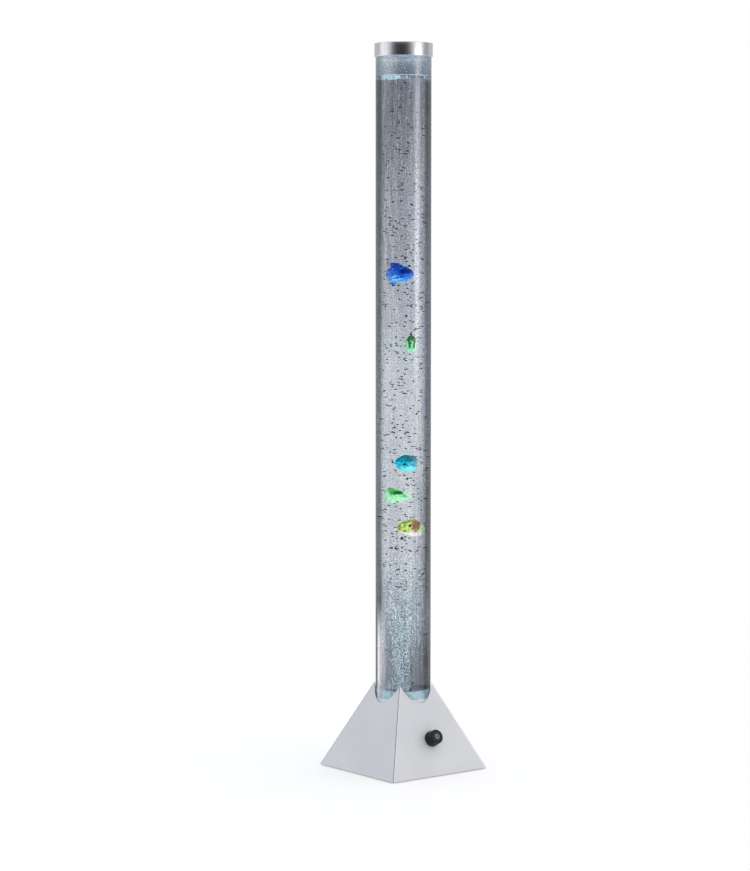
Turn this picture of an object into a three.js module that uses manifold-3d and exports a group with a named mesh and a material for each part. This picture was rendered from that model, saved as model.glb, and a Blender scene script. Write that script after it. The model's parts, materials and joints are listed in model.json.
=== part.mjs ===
// A bubble fish lamp: a water-filled clear tube on a folded metal pyramid, with a lift-off cap, drifting
// plastic fish, a rotary switch, and the air pump and light that work it inside the base.
// Millimetres, +Z up, origin on the floor under the tube's centre, -Y towards the knob.
import * as THREE from "three";
import { mergeVertices } from "three/addons/utils/BufferGeometryUtils.js";
import Module from "manifold-3d";

const wasm = await Module();
wasm.setup();

// Clearances that several pieces share
const seatGap = 0.3; // between faces that rest on each other, are glued or are screwed together
const runningGap = 0.4; // around a piece that turns, lifts off or slides
const cutOverrun = 3; // how far a cutting tool runs past the face it opens
const weldDistance = 0.001; // corners closer than this are one corner

// How many flats stand for a circle
const largeFacets = 48;
const roundFacets = 24;
const smallFacets = 12;
const sixSides = 6;

// Clear tube, its bottom plug and the seal under it
const tubeOuterRadius = 45;
const tubeWall = 3;
const tubeLength = 1055;
const tubeEndAboveCut = 4.6; // from the lowest point of the sheet's cut-out up to the tube's end
const plugThickness = 15;
const sealThickness = 1.2;
const sealInnerRadius = 29;

// Folded sheet metal pyramid
const sheetThickness = 1.5;
const baseHalfWidth = 97;
const faceMeetingHeight = 211; // from the lower edge to where the four faces would meet
const floorGap = 1.5; // the lower edge stands this far above the floor
const tubeCutClearance = 1.5;
const seamWidth = 0.7;
const seamDepth = 0.9;
const tabWidth = 30;
const tabDepth = 15;
const tabScrewInset = 8; // from the tab's free edge back to its screw

// Moulded bottom plate and rubber feet
const plateThickness = 2;
const plateUnderside = 8;
const ventCount = 5;
const ventWidth = 3;
const ventPitch = 8;
const ventMargin = 6; // from the pump, and from the housing's tab, to a vent's end
const footRadius = 8;
const footStemRadius = 2.5;
const footStemLength = 3.2;
const footInset = 24; // from the plate's edge to a foot's centre
const footHollowRadius = 3;
const footHollowDepth = 2;

// Screws
const screwShankRadius = 1.4;
const screwHeadRadius = 2.9;
const screwHeadHeight = 2;
const screwSlotWidth = 0.9;
const screwSlotDepth = 0.8;
const plateScrewLength = 6;
const legScrewLength = 12;
const plugScrewLength = 15;
const screwHoleGap = 0.3;

// Moulded holder that carries the tube on four legs
const holderFlangeThickness = 4.2;
const holderOpeningRadius = 29;
const legRadius = 4.5;
const legDistance = 41; // from the tube's axis to a leg's
const plugScrewDistance = 33;
const plugScrewCount = 3;

// Light board under the plug
const lightBoardRadius = 36;
const lightBoardThickness = 1.6;
const lightBoardHoleRadius = 7;
const lightCount = 3;
const lightDistance = 20;
const lightSize = 5;
const lightHeight = 1.6;
const lightDomeRadius = 1.9;

// Air nozzle through the plug, with its elbow, and the porous stone on it
const nozzleRadius = 3;
const nozzleBoreRadius = 1.2;
const nozzleCollarRadius = 5.5;
const nozzleCollarThickness = 2.4;
const nozzleElbowDrop = 19; // from the tube's lower end down to the barb's middle
const nozzleBarbLength = 18;
const nozzleBarbRadius = 2;
const nozzleTipAbovePlug = 6;
const stoneRadius = 10;
const stoneHeight = 13;
const stoneEdgeRound = 2;

// Air hoses and the check valve between them
const hoseRadius = 3.4;
const hoseBoreRadius = 2.5;
const hoseOnNipple = 6; // how far a hose is pushed on
const hoseStraight = 1.5; // a hose runs straight this far past what it is pushed on
const widestHoseBend = 18;
const hoseFacets = 8;
const hoseSteps = 12;
const valveRadius = 6;
const valveLength = 15;
const valveNippleLength = 8;
const valveNippleRadius = 2;
const valveBoreRadius = 1.1;

// Diaphragm air pump
const matThickness = 3;
const pumpLength = 64;
const pumpWidth = 42;
const pumpHeight = 30;
const pumpWall = 2;
const pumpCoverThickness = 2.5;
const pumpCoverLip = 2;
const coreBackThickness = 5;
const coreLegWidth = 6;
const coreMiddleLegWidth = 8;
const coreWidth = 32;
const coreLegLength = 16;
const coreThickness = 12;
const coreFloorGap = 4;
const coilWall = 4.6;
const coilLength = 13;
const armThickness = 3;
const armHeight = 12;
const armPivotInset = 6; // from the case's end wall to the pin the arm turns on
const armBossRadius = 4;
const armBossHeight = 20;
const pivotPinRadius = 1.6;
const magnetThickness = 3.2;
const magnetWidth = 10;
const magnetAirGap = 3.2; // from the core's legs to the magnet
const diaphragmX = 9;
const diaphragmRadius = 8;
const diaphragmStemRadius = 3;
const diaphragmStemLength = 3.4;
const diaphragmThickness = 4;
const headGap = 1.3; // room for the diaphragm to swing
const headWidth = 18;
const outletLength = 12;
const outletHeight = 14;

// Control board and what stands on it
const boardLength = 62;
const boardDepth = 26;
const boardThickness = 1.6;
const boardCentreX = -8;
const boardRearGap = 7; // from the bottom plate's rear edge
const postRadius = 2.6;
const postHeight = 4;
const postPinRadius = 1.2;
const postPinHeight = 3.2;
const postInset = 4;
const chipLength = 12;
const chipWidth = 7;
const chipHeight = 1.8;
const terminalLength = 34;
const terminalDepth = 8;
const terminalHeight = 9;

// Rotary switch, its knob and its fixings, measured out from the front face
const knobHeight = 56; // where its axis meets the face, above the floor
const knobRadius = 11.9;
const knobSkirtRadius = 12.7;
const knobSkirtHeight = 7;
const knobLength = 17;
const knobEdgeRound = 1.2;
const knobFaceGap = 0.8;
const knobCapRadius = 6.6;
const knobCapThickness = 1.4;
const knobHollowRadius = 8.4;
const knobHollowDepth = 4.4;
const pointerLength = 4.5;
const pointerWidth = 1.2;
const pointerDepth = 0.5;
const shaftRadius = 2.6;
const shaftAboveFace = 13;
const bushingRadius = 3.7;
const bushingAboveFace = 4.2;
const nutFlatRadius = 6;
const nutThickness = 2;
const switchBodyRadius = 8.5;
const switchBodyDepth = 13;

// Low-voltage inlet on the rear face
const jackHeight = 34;
const jackX = 42;
const jackBarrelRadius = 5.5;
const jackFlangeRadius = 7.6;
const jackFlangeThickness = 1.6;
const jackBodyLength = 14;
const jackMouthRadius = 3.1;
const jackMouthDepth = 10;
const jackPinRadius = 1;
const jackNutThickness = 2.5;

// Leads inside the base
const leadRadius = 1.5;
const leadStub = 3; // a lead leaves what it meets straight for this far
const leadFacets = 6;
const leadSteps = 20;
const lightLeadX = -12;
const lightLeadY = 14;

// Where the leads pass: x and the y in front of the middle are shares of the plate's half width, the y
// behind it is a share of the terminal block's distance, and z is a share of the way from the control
// board up to the light board
const leadRouteShares = {
  inlet_lead: [[0.42, 1.04, 0.056], [0.29, 0.93, 0.045], [0.13, 0.89, 0.047]],
  switch_lead: [
    [-0.08, -0.54, 0.24], [-0.3, -0.57, 0.156], [-0.56, -0.42, 0.021], [-0.62, -0.11, -0.02],
    [-0.61, 0.34, -0.02], [-0.55, 0.84, 0.01], [-0.36, 0.92, 0.039],
  ],
  pump_lead: [[-0.47, 0.25, 0.226], [-0.5, 0.5, 0.2], [-0.46, 0.86, 0.16], [-0.28, 0.91, 0.12]],
  light_lead: [
    [-0.137, 0.3, 0.824], [-0.165, 0.51, 0.607], [-0.165, 0.61, 0.367],
    [-0.13, 0.74, 0.152], [-0.115, 0.85, 0.055],
  ],
};

// Where each lead meets the terminal block, as a share of half the block's length
const terminalShares = { inlet_lead: 0.8, light_lead: 0.2, pump_lead: -0.4, switch_lead: -0.8 };

// Lift-off cap
const capOuterRadius = 47;
const capHeight = 22;
const capTopThickness = 2;
const capEdgeRound = 1;
const capSealThickness = 1.2;
const capSealWidth = 4;
const capVentRadius = 1.6;

// Fish: sizes and places in millimetres; heading is where the nose points, in degrees from +X
const finThickness = 1.7;
const fishSideFacets = 12;
const viewerBearing = -128.6; // the side that the fish are set out from, in degrees from +X
const fishTable = [
  {
    name: "fish_blue", form: "sail", colour: 0x1f5fd0, length: 37, height: 40, thickness: 12,
    level: 805, sideways: -4.5, forward: 8, heading: -46,
  },
  {
    name: "fish_green", form: "deep", colour: 0x2f9a52, length: 34, height: 41, thickness: 15,
    level: 693, sideways: 10, forward: 4, heading: -122,
  },
  {
    name: "fish_teal", form: "round", colour: 0x1fa9b5, length: 32, height: 28, thickness: 12,
    level: 500, sideways: 3, forward: 9, heading: 164,
  },
  {
    name: "fish_lime", form: "slim", colour: 0x7fd07a, length: 34, height: 28, thickness: 11,
    level: 447, sideways: -7.5, forward: 5, heading: 148,
  },
  {
    name: "fish_sun", form: "broad", colour: 0xa9c33a, length: 37, height: 28, thickness: 12,
    level: 395, sideways: 10.5, forward: 6, heading: 144,
  },
];

// A fish's half profile as shares: its length runs from tail (-0.5) to nose (0.5), its radius to 1
const bodyProfileShares = [
  [-0.38, 0], [-0.35, 0.2], [-0.27, 0.34], [-0.17, 0.62], [-0.04, 0.9], [0.09, 1],
  [0.22, 0.93], [0.34, 0.72], [0.43, 0.44], [0.48, 0.2], [0.5, 0],
];

// Each form's body height and fin outlines, as shares of the fish's length and height
const formShares = {
  sail: {
    body: 0.66,
    fins: [
      [[-0.2, 0.22], [-0.36, 0.26], [-0.45, 0.16], [-0.5, 0], [-0.48, -0.18], [-0.36, -0.26], [-0.2, -0.2]],
      [[0.49, 0.07], [0.26, 0.26], [0, 0.42], [-0.34, 0.5], [-0.33, 0.24], [-0.2, 0.1], [0.3, 0]],
      [[0.1, -0.24], [-0.08, -0.36], [-0.27, -0.5], [-0.33, -0.3], [-0.24, -0.1]],
      [[0.28, -0.12], [0.24, -0.3], [0.18, -0.4], [0.08, -0.24]],
    ],
  },
  deep: {
    body: 0.68,
    fins: [
      [[-0.28, 0.08], [-0.5, 0.24], [-0.46, 0], [-0.5, -0.24], [-0.28, -0.08]],
      [[0.26, 0.16], [0.12, 0.44], [0.02, 0.5], [-0.16, 0.34], [-0.26, 0.08]],
      [[0.14, -0.22], [0.06, -0.5], [-0.08, -0.44], [-0.24, -0.08]],
    ],
  },
  round: {
    body: 0.84,
    fins: [
      [[-0.1, 0.38], [-0.3, 0.46], [-0.45, 0.34], [-0.5, 0.12], [-0.5, -0.16], [-0.44, -0.4], [-0.28, -0.46],
        [-0.1, -0.36]],
      [[0.34, 0.2], [0.22, 0.4], [0.04, 0.5], [-0.2, 0.47], [-0.3, 0.2]],
      [[0.3, -0.24], [0.14, -0.46], [-0.06, -0.5], [-0.24, -0.44], [-0.28, -0.16]],
    ],
  },
  slim: {
    body: 0.8,
    fins: [
      [[-0.2, 0.16], [-0.36, 0.1], [-0.47, 0], [-0.5, -0.12], [-0.42, -0.2], [-0.2, -0.24]],
      [[0.44, 0.2], [0.4, 0.4], [0.3, 0.5], [0.14, 0.42], [-0.06, 0.3], [-0.3, 0.12], [-0.2, 0]],
      [[0.3, -0.2], [0.22, -0.5], [0.06, -0.46], [-0.16, -0.38], [-0.34, -0.24], [-0.2, -0.1]],
      [[0.46, -0.1], [0.46, -0.36], [0.38, -0.42], [0.3, -0.16]],
    ],
  },
  broad: {
    body: 0.86,
    fins: [
      [[-0.26, 0.1], [-0.38, 0.16], [-0.48, 0.08], [-0.5, -0.14], [-0.42, -0.4], [-0.3, -0.3],
        [-0.26, -0.12]],
      [[0.34, 0.2], [0.2, 0.4], [0, 0.5], [-0.2, 0.47], [-0.32, 0.3], [-0.3, 0.04]],
      [[0.26, -0.26], [0.06, -0.46], [-0.2, -0.5], [-0.34, -0.44], [-0.28, -0.1]],
    ],
  },
};
const sideFinShares = [[0.2, -0.1], [0.06, -0.26], [-0.02, -0.2], [0.08, -0.04]];
const sideFinSplay = 32; // degrees that a side fin stands out from the body

// Places that follow from the sizes
const tubeInnerRadius = tubeOuterRadius - tubeWall;
const faceRise = faceMeetingHeight / baseHalfWidth;
const faceSlope = Math.atan(faceRise);
const sheetAcross = sheetThickness / Math.sin(faceSlope);
const tubeCutRadius = tubeOuterRadius + tubeCutClearance;
const tubeStandHeight = floorGap + faceRise * (baseHalfWidth - tubeCutRadius) + tubeEndAboveCut;
const tubeTop = tubeStandHeight + tubeLength;
const plateTop = plateUnderside + plateThickness;
const plateHalfWidth = outerHalfWidthAt(plateTop) - sheetAcross - runningGap;
const tabUnderside = plateTop + seatGap;
const holderTop = tubeStandHeight - sealThickness - 2 * seatGap;
const holderUnderside = holderTop - holderFlangeThickness;
const lightBoardTop = holderUnderside - seatGap;
const lightBoardUnderside = lightBoardTop - lightBoardThickness;
const plugRadius = tubeInnerRadius - seatGap;
const plugTop = tubeStandHeight + plugThickness;
const legPlaces = placesRound(4, legDistance, Math.PI / 4);
const plugScrewPlaces = placesRound(plugScrewCount, plugScrewDistance, Math.PI / 2);
const footDistance = (plateHalfWidth - footInset) * Math.SQRT2;
const footPlaces = placesRound(4, footDistance, Math.PI / 4);
const plateScrewDistance = innerHalfWidthAt(tabUnderside) - tabDepth + tabScrewInset;
const plateScrewPlaces = placesRound(4, plateScrewDistance, 0);
const pumpFloor = plateTop + matThickness + 2 * seatGap;
const pumpOutletHeight = pumpFloor + outletHeight;
const pumpOutletTip = pumpWidth / 2 + outletLength;
const nozzleElbowHeight = tubeStandHeight - nozzleElbowDrop;
const valveReach = valveLength / 2 + valveNippleLength;
const hoseBendRoom = (nozzleElbowHeight - pumpOutletHeight) / 2 - valveReach - hoseStraight;
const hoseBendRadius = Math.min(widestHoseBend, hoseBendRoom);
const hoseBendStartY = pumpOutletTip + hoseStraight;
const valveCentreHeight = (nozzleElbowHeight + pumpOutletHeight) / 2;
const valveCentreY = hoseBendStartY + hoseBendRadius;
const boardUnderside = plateTop + postHeight + seatGap;
const boardTop = boardUnderside + boardThickness;
const boardCentreY = plateHalfWidth - boardRearGap - boardDepth / 2;
const terminalCentreY = boardCentreY - boardDepth / 2 + terminalDepth / 2;
const terminalFaceY = terminalCentreY - terminalDepth / 2;
const leadHeight = boardTop + seatGap + terminalHeight / 2;
const frontFrame = faceFrame(-1, 0, knobHeight);
const rearFrame = faceFrame(1, jackX, jackHeight);

// Half the pyramid's outer width at a height above the floor
function outerHalfWidthAt(height) {
  return baseHalfWidth - (height - floorGap) / faceRise;
}

// Half its inner width at that height
function innerHalfWidthAt(height) {
  return outerHalfWidthAt(height) - sheetAcross;
}

// Places evenly spaced round the tube's axis
function placesRound(count, distance, firstAngle) {
  return Array.from({ length: count }, (_, i) => {
    const angle = firstAngle + (2 * Math.PI * i) / count;
    return [distance * Math.cos(angle), distance * Math.sin(angle)];
  });
}

// A frame on the front (side -1) or rear (side 1) face: its Z points out of the sheet
function faceFrame(side, x, height) {
  const frame = new THREE.Matrix4().makeRotationX(-side * faceSlope);
  return frame.setPosition(x, side * outerHalfWidthAt(height), height);
}

// A closed geometry as a manifold-3d solid
function solidOf(geometry) {
  const bare = geometry.index ? geometry.toNonIndexed() : geometry.clone();
  bare.deleteAttribute("normal");
  bare.deleteAttribute("uv");
  const merged = mergeVertices(bare, weldDistance);
  const corners = [];
  for (let i = 0; i < merged.index.count; i += 3) {
    const [a, b, c] = [0, 1, 2].map((k) => merged.index.getX(i + k));
    if (a !== b && b !== c && a !== c) corners.push(a, b, c);
  }
  return new wasm.Manifold(
    new wasm.Mesh({
      numProp: 3,
      vertProperties: merged.attributes.position.array,
      triVerts: new Uint32Array(corners),
    }),
  );
}

// A manifold-3d solid as a geometry with flat faces
function geometryOf(solid) {
  const mesh = solid.getMesh();
  const indexed = new THREE.BufferGeometry();
  indexed.setAttribute("position", new THREE.BufferAttribute(mesh.vertProperties, 3));
  indexed.setIndex(new THREE.BufferAttribute(mesh.triVerts, 1));
  const geometry = indexed.toNonIndexed();
  geometry.computeVertexNormals();
  return geometry;
}

// Joins and cuts
function joined(...geometries) {
  return geometryOf(geometries.map(solidOf).reduce((all, one) => all.add(one)));
}

function cut(geometry, ...tools) {
  return geometryOf(tools.map(solidOf).reduce((all, tool) => all.subtract(tool), solidOf(geometry)));
}

// An upright cylinder from one height to another
function rod(radius, bottom, top, facets = roundFacets) {
  const height = top - bottom;
  const geometry = new THREE.CylinderGeometry(radius, radius, height, facets);
  return geometry.rotateX(Math.PI / 2).translate(0, 0, bottom + height / 2);
}

// A cylinder lying along +Y
function rodAlongY(radius, from, to, facets = roundFacets) {
  const length = to - from;
  const geometry = new THREE.CylinderGeometry(radius, radius, length, facets);
  return geometry.translate(0, from + length / 2, 0);
}

// A box that stands on a height
function block(width, depth, height, x, y, bottom) {
  return new THREE.BoxGeometry(width, depth, height).translate(x, y, bottom + height / 2);
}

// A turned piece from a profile of [radius, height] that runs round counter-clockwise
function turned(profile, facets = roundFacets) {
  const points = profile.map(([radius, height]) => new THREE.Vector2(radius, height));
  return new THREE.LatheGeometry(points, facets).rotateX(Math.PI / 2);
}

// A flat upright ring
function ring(outerRadius, innerRadius, bottom, top, facets = roundFacets) {
  const profile = [
    [innerRadius, bottom],
    [outerRadius, bottom],
    [outerRadius, top],
    [innerRadius, top],
    [innerRadius, bottom],
  ];
  return turned(profile, facets);
}

// Points of a circle, for sections and hexagons
function circlePoints(radius, count) {
  return Array.from({ length: count }, (_, i) => {
    const angle = (2 * Math.PI * i) / count;
    return new THREE.Vector2(radius * Math.cos(angle), radius * Math.sin(angle));
  });
}

// A round tube or hose along a smooth curve through the points
function swept(points, radius, facets, steps, boreRadius = 0) {
  const section = new THREE.Shape(circlePoints(radius, facets));
  if (boreRadius > 0) section.holes.push(new THREE.Path(circlePoints(boreRadius, facets).reverse()));
  const route = new THREE.CatmullRomCurve3(points.map((p) => new THREE.Vector3(...p)));
  return new THREE.ExtrudeGeometry(section, { steps, extrudePath: route, bevelEnabled: false });
}

// An upright prism of an outline
function prism(points, bottom, height) {
  const shape = new THREE.Shape(points);
  const geometry = new THREE.ExtrudeGeometry(shape, { depth: height, bevelEnabled: false });
  return geometry.translate(0, 0, bottom);
}

// Materials
const paint = (color, roughness, metalness = 0, opacity = 1) =>
  new THREE.MeshStandardMaterial({ color, roughness, metalness, opacity, transparent: opacity < 1 });
const material = {
  housing: paint(0xd2d4d9, 0.42, 0.55),
  chrome: paint(0xc9cbd2, 0.16, 1),
  clearTube: paint(0xa9b2bc, 0.06, 0, 0.3),
  clearPlug: paint(0x9fd0d8, 0.1, 0, 0.6),
  rubber: paint(0x26282b, 0.85),
  knob: paint(0x191b20, 0.45),
  knobCap: paint(0x6d7178, 0.35),
  holder: paint(0xd9dde0, 0.5),
  plate: paint(0x3a3d42, 0.6),
  steel: paint(0xb5b8bd, 0.3, 0.9),
  brass: paint(0xc2a04a, 0.3, 0.9),
  circuit: paint(0x1f6b3c, 0.5),
  lens: paint(0xeef6f6, 0.2),
  copper: paint(0xb4633a, 0.35, 0.8),
  iron: paint(0x4a4c50, 0.6, 0.6),
  pump: paint(0xe3e4e2, 0.5),
  silicone: paint(0xd8dedf, 0.3, 0, 0.7),
  lead: paint(0x222428, 0.6),
  foam: paint(0x5b5e63, 0.95),
  stone: paint(0x8fb7c9, 0.9),
};

function part(name, geometry, look) {
  const mesh = new THREE.Mesh(geometry, look);
  mesh.name = name;
  return mesh;
}

// A slotted screw, head down at the height of the face it clamps, at one place
function screw(name, clampedFace, length, [x, y]) {
  const headTop = clampedFace - seatGap;
  const headBottom = headTop - screwHeadHeight;
  const head = rod(screwHeadRadius, headBottom, headTop, smallFacets);
  const shank = rod(screwShankRadius, headTop - seatGap, headTop + length, smallFacets);
  const slotLength = 2 * (screwHeadRadius + cutOverrun);
  const slot = block(slotLength, screwSlotWidth, screwSlotDepth + cutOverrun, 0, 0, headBottom - cutOverrun);
  return part(name, cut(joined(head, shank), slot).translate(x, y, 0), material.steel);
}

function screwHole([x, y], bottom, top) {
  const radius = screwShankRadius + screwHoleGap;
  return rod(radius, bottom, top, smallFacets).translate(x, y, 0);
}

// The pyramid as a solid cone of four sides
function pyramid(halfWidth, lowerEdge) {
  const height = halfWidth * faceRise;
  const geometry = new THREE.ConeGeometry(halfWidth * Math.SQRT2, height, 4);
  return geometry.rotateX(Math.PI / 2).rotateZ(Math.PI / 4).translate(0, 0, lowerEdge + height / 2);
}

// The groove where two faces of the folded sheet meet, along one ridge
function seamGroove(quarter) {
  const ridgeTilt = Math.atan(faceRise / Math.SQRT2);
  const ridgeLength = faceMeetingHeight / Math.sin(ridgeTilt);
  const groove = block(ridgeLength, seamWidth, seamDepth + cutOverrun, -ridgeLength / 2, 0, -seamDepth);
  groove.rotateY(ridgeTilt).translate(baseHalfWidth * Math.SQRT2, 0, floorGap);
  return groove.rotateZ(Math.PI / 4 + (quarter * Math.PI) / 2);
}

function housingTab(quarter) {
  const wallMiddle = innerHalfWidthAt(tabUnderside) + sheetAcross / 2;
  const reach = tabDepth + sheetAcross / 2;
  const tab = block(reach, tabWidth, sheetThickness, wallMiddle - reach / 2, 0, tabUnderside);
  return tab.rotateZ((quarter * Math.PI) / 2);
}

function housing() {
  const outer = pyramid(baseHalfWidth, floorGap);
  const inner = pyramid(baseHalfWidth - sheetAcross + cutOverrun / faceRise, floorGap - cutOverrun);
  const apex = floorGap + faceMeetingHeight;
  const tubeCut = rod(tubeCutRadius, tubeStandHeight - tubeOuterRadius, apex + cutOverrun, largeFacets);
  const shell = cut(outer, inner, tubeCut, ...[0, 1, 2, 3].map(seamGroove));
  const switchHole = rod(bushingRadius + seatGap, -sheetThickness - cutOverrun, cutOverrun);
  const jackHole = rod(jackBarrelRadius + seatGap, -sheetThickness - cutOverrun, cutOverrun);
  const tabScrews = plateScrewPlaces.map((place) =>
    screwHole(place, tabUnderside - cutOverrun, tabUnderside + sheetThickness + cutOverrun));
  const folded = joined(shell, ...[0, 1, 2, 3].map(housingTab));
  return part("base_housing", cut(
    folded, switchHole.applyMatrix4(frontFrame), jackHole.applyMatrix4(rearFrame), ...tabScrews,
  ), material.housing);
}

function boardPostPlaces() {
  const reachX = boardLength / 2 - postInset;
  const reachY = boardDepth / 2 - postInset;
  return [[-1, 1], [1, 1], [-1, -1], [1, -1]].map(([sx, sy]) =>
    [boardCentreX + sx * reachX, boardCentreY + sy * reachY]);
}

function bottomPlate() {
  const side = 2 * plateHalfWidth;
  const slab = block(side, side, plateThickness, 0, 0, plateUnderside);
  const posts = boardPostPlaces().flatMap(([x, y]) => [
    rod(postRadius, plateTop - plateThickness / 2, plateTop + postHeight, smallFacets).translate(x, y, 0),
    rod(postPinRadius, plateTop, boardTop + postPinHeight - boardThickness, smallFacets).translate(x, y, 0),
  ]);
  const below = plateUnderside - cutOverrun;
  const above = plateTop + cutOverrun;
  const holes = [...plateScrewPlaces, ...legPlaces].map((place) => screwHole(place, below, above));
  const footHoles = footPlaces.map(([x, y]) =>
    rod(footStemRadius + seatGap, below, above, smallFacets).translate(x, y, 0));
  const ventFrom = pumpLength / 2 + ventMargin;
  const ventTo = plateHalfWidth - tabDepth - ventMargin;
  const vents = [-1, 1].flatMap((hand) => Array.from({ length: ventCount }, (_, i) => {
    const x = (hand * (ventFrom + ventTo)) / 2;
    const y = (i - (ventCount - 1) / 2) * ventPitch;
    return block(ventTo - ventFrom, ventWidth, above - below, x, y, below);
  }));
  return part("bottom_plate", cut(joined(slab, ...posts), ...holes, ...footHoles, ...vents), material.plate);
}

function feet() {
  const top = plateUnderside - seatGap;
  const profile = [
    [0, footHollowDepth],
    [footHollowRadius, footHollowDepth],
    [footHollowRadius, 0],
    [footRadius, 0],
    [footRadius, top],
    [footStemRadius, top],
    [footStemRadius, top + seatGap + footStemLength],
    [0, top + seatGap + footStemLength],
  ];
  const names = ["foot_rear_right", "foot_rear_left", "foot_front_left", "foot_front_right"];
  return footPlaces.map(([x, y], i) =>
    part(names[i], turned(profile, roundFacets).translate(x, y, 0), material.rubber));
}

// What holds the tube up
function tubeHolder() {
  const flange = ring(tubeOuterRadius, holderOpeningRadius, holderUnderside, holderTop, largeFacets);
  const overlap = holderFlangeThickness / 2;
  const legs = legPlaces.map(([x, y]) =>
    rod(legRadius, plateTop + seatGap, holderUnderside + overlap, smallFacets).translate(x, y, 0));
  const legHoles = legPlaces.map((place) =>
    screwHole(place, plateTop - cutOverrun, plateTop + legScrewLength));
  const flangeHoles = plugScrewPlaces.map((place) =>
    screwHole(place, holderUnderside - cutOverrun, holderTop + cutOverrun));
  return part("tube_holder", cut(joined(flange, ...legs), ...legHoles, ...flangeHoles), material.holder);
}

function tubeSeal() {
  const bottom = holderTop + seatGap;
  const top = bottom + sealThickness;
  const band = ring(tubeOuterRadius - seatGap, sealInnerRadius, bottom, top, largeFacets);
  const holes = plugScrewPlaces.map((place) => screwHole(place, bottom - cutOverrun, top + cutOverrun));
  return part("tube_seal", cut(band, ...holes), material.rubber);
}

function clearTube() {
  const wall = ring(tubeOuterRadius, tubeInnerRadius, tubeStandHeight, tubeTop, largeFacets);
  return part("tube", wall, material.clearTube);
}

function tubePlug() {
  const disc = rod(plugRadius, tubeStandHeight, plugTop, largeFacets);
  const bore = rod(nozzleRadius + seatGap, tubeStandHeight - cutOverrun, plugTop + cutOverrun);
  const screwTop = lightBoardUnderside + plugScrewLength;
  const holes = plugScrewPlaces.map((place) =>
    screwHole(place, tubeStandHeight - cutOverrun, screwTop + seatGap));
  return part("tube_plug", cut(disc, bore, ...holes), material.clearPlug);
}

// Light board with its diodes
function lightBoard() {
  const disc = rod(lightBoardRadius, lightBoardUnderside, lightBoardTop, largeFacets);
  const below = lightBoardUnderside - cutOverrun;
  const above = lightBoardTop + cutOverrun;
  const hole = rod(lightBoardHoleRadius, below, above);
  const holes = plugScrewPlaces.map((place) => screwHole(place, below, above));
  return part("light_board", cut(disc, hole, ...holes), material.circuit);
}

function lights() {
  return Array.from({ length: lightCount }, (_, i) => {
    const angle = (2 * Math.PI * i) / lightCount + Math.PI / lightCount;
    const bottom = lightBoardTop + seatGap;
    const body = block(lightSize, lightSize, lightHeight, 0, 0, bottom);
    const dome = rod(lightDomeRadius, bottom, bottom + lightHeight + seatGap, smallFacets);
    const place = [lightDistance * Math.cos(angle), lightDistance * Math.sin(angle), 0];
    return part(`light_diode_${i + 1}`, joined(body, dome).translate(...place), material.lens);
  });
}

// Air nozzle with its elbow
function nozzle() {
  const tip = plugTop + nozzleTipAbovePlug;
  const collarTop = tubeStandHeight - seatGap;
  const stem = rod(nozzleRadius, nozzleElbowHeight - nozzleRadius, tip);
  const collar = rod(nozzleCollarRadius, collarTop - nozzleCollarThickness, collarTop);
  const barb = rodAlongY(nozzleBarbRadius, 0, nozzleBarbLength, smallFacets);
  barb.translate(0, 0, nozzleElbowHeight);
  const riser = rod(nozzleBoreRadius, nozzleElbowHeight, tip + cutOverrun, smallFacets);
  const run = rodAlongY(nozzleBoreRadius, 0, nozzleBarbLength + cutOverrun, smallFacets);
  return part("air_nozzle", cut(joined(stem, collar, barb), riser, run.translate(0, 0, nozzleElbowHeight)),
    material.brass);
}

function airStone() {
  const bottom = plugTop + seatGap;
  const top = bottom + stoneHeight;
  const pocketTop = plugTop + nozzleTipAbovePlug + seatGap;
  const pocketRadius = nozzleRadius + seatGap;
  const profile = [
    [0, pocketTop],
    [pocketRadius, pocketTop],
    [pocketRadius, bottom],
    [stoneRadius, bottom],
    [stoneRadius, top - stoneEdgeRound],
    [stoneRadius - stoneEdgeRound, top],
    [0, top],
  ];
  return part("air_stone", turned(profile), material.stone);
}

// Check valve and hoses
function checkValve() {
  const body = rod(valveRadius, -valveLength / 2, valveLength / 2);
  const nipples = rod(valveNippleRadius, -valveReach, valveReach, smallFacets);
  const bore = rod(valveBoreRadius, -valveReach - cutOverrun, valveReach + cutOverrun, smallFacets);
  const valve = cut(joined(body, nipples), bore);
  return part("check_valve", valve.translate(0, valveCentreY, valveCentreHeight), material.pump);
}

function hoseAlong(points) {
  return swept(points, hoseRadius, hoseFacets, hoseSteps, hoseBoreRadius);
}

// Points of a quarter bend of the hose about an axis along X
function bendPoints(centreY, centreZ, turns, xAt) {
  return turns.map((degrees) => {
    const angle = THREE.MathUtils.degToRad(degrees);
    return [
      xAt(degrees),
      centreY + hoseBendRadius * Math.cos(angle),
      centreZ + hoseBendRadius * Math.sin(angle),
    ];
  });
}

// The upper hose runs from the valve up and over to the nozzle's barb
function upperHose() {
  const low = valveCentreHeight + valveLength / 2 + seatGap;
  const centreZ = nozzleElbowHeight - hoseBendRadius;
  const points = [
    [0, valveCentreY, low],
    [0, valveCentreY, low + hoseOnNipple],
    ...bendPoints(hoseBendStartY, centreZ, [0, 25, 50, 75, 90], () => 0),
    [0, nozzleBarbLength + hoseStraight, nozzleElbowHeight],
    [0, nozzleBarbLength - hoseOnNipple, nozzleElbowHeight],
  ];
  return part("hose_upper", hoseAlong(points), material.silicone);
}

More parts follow.
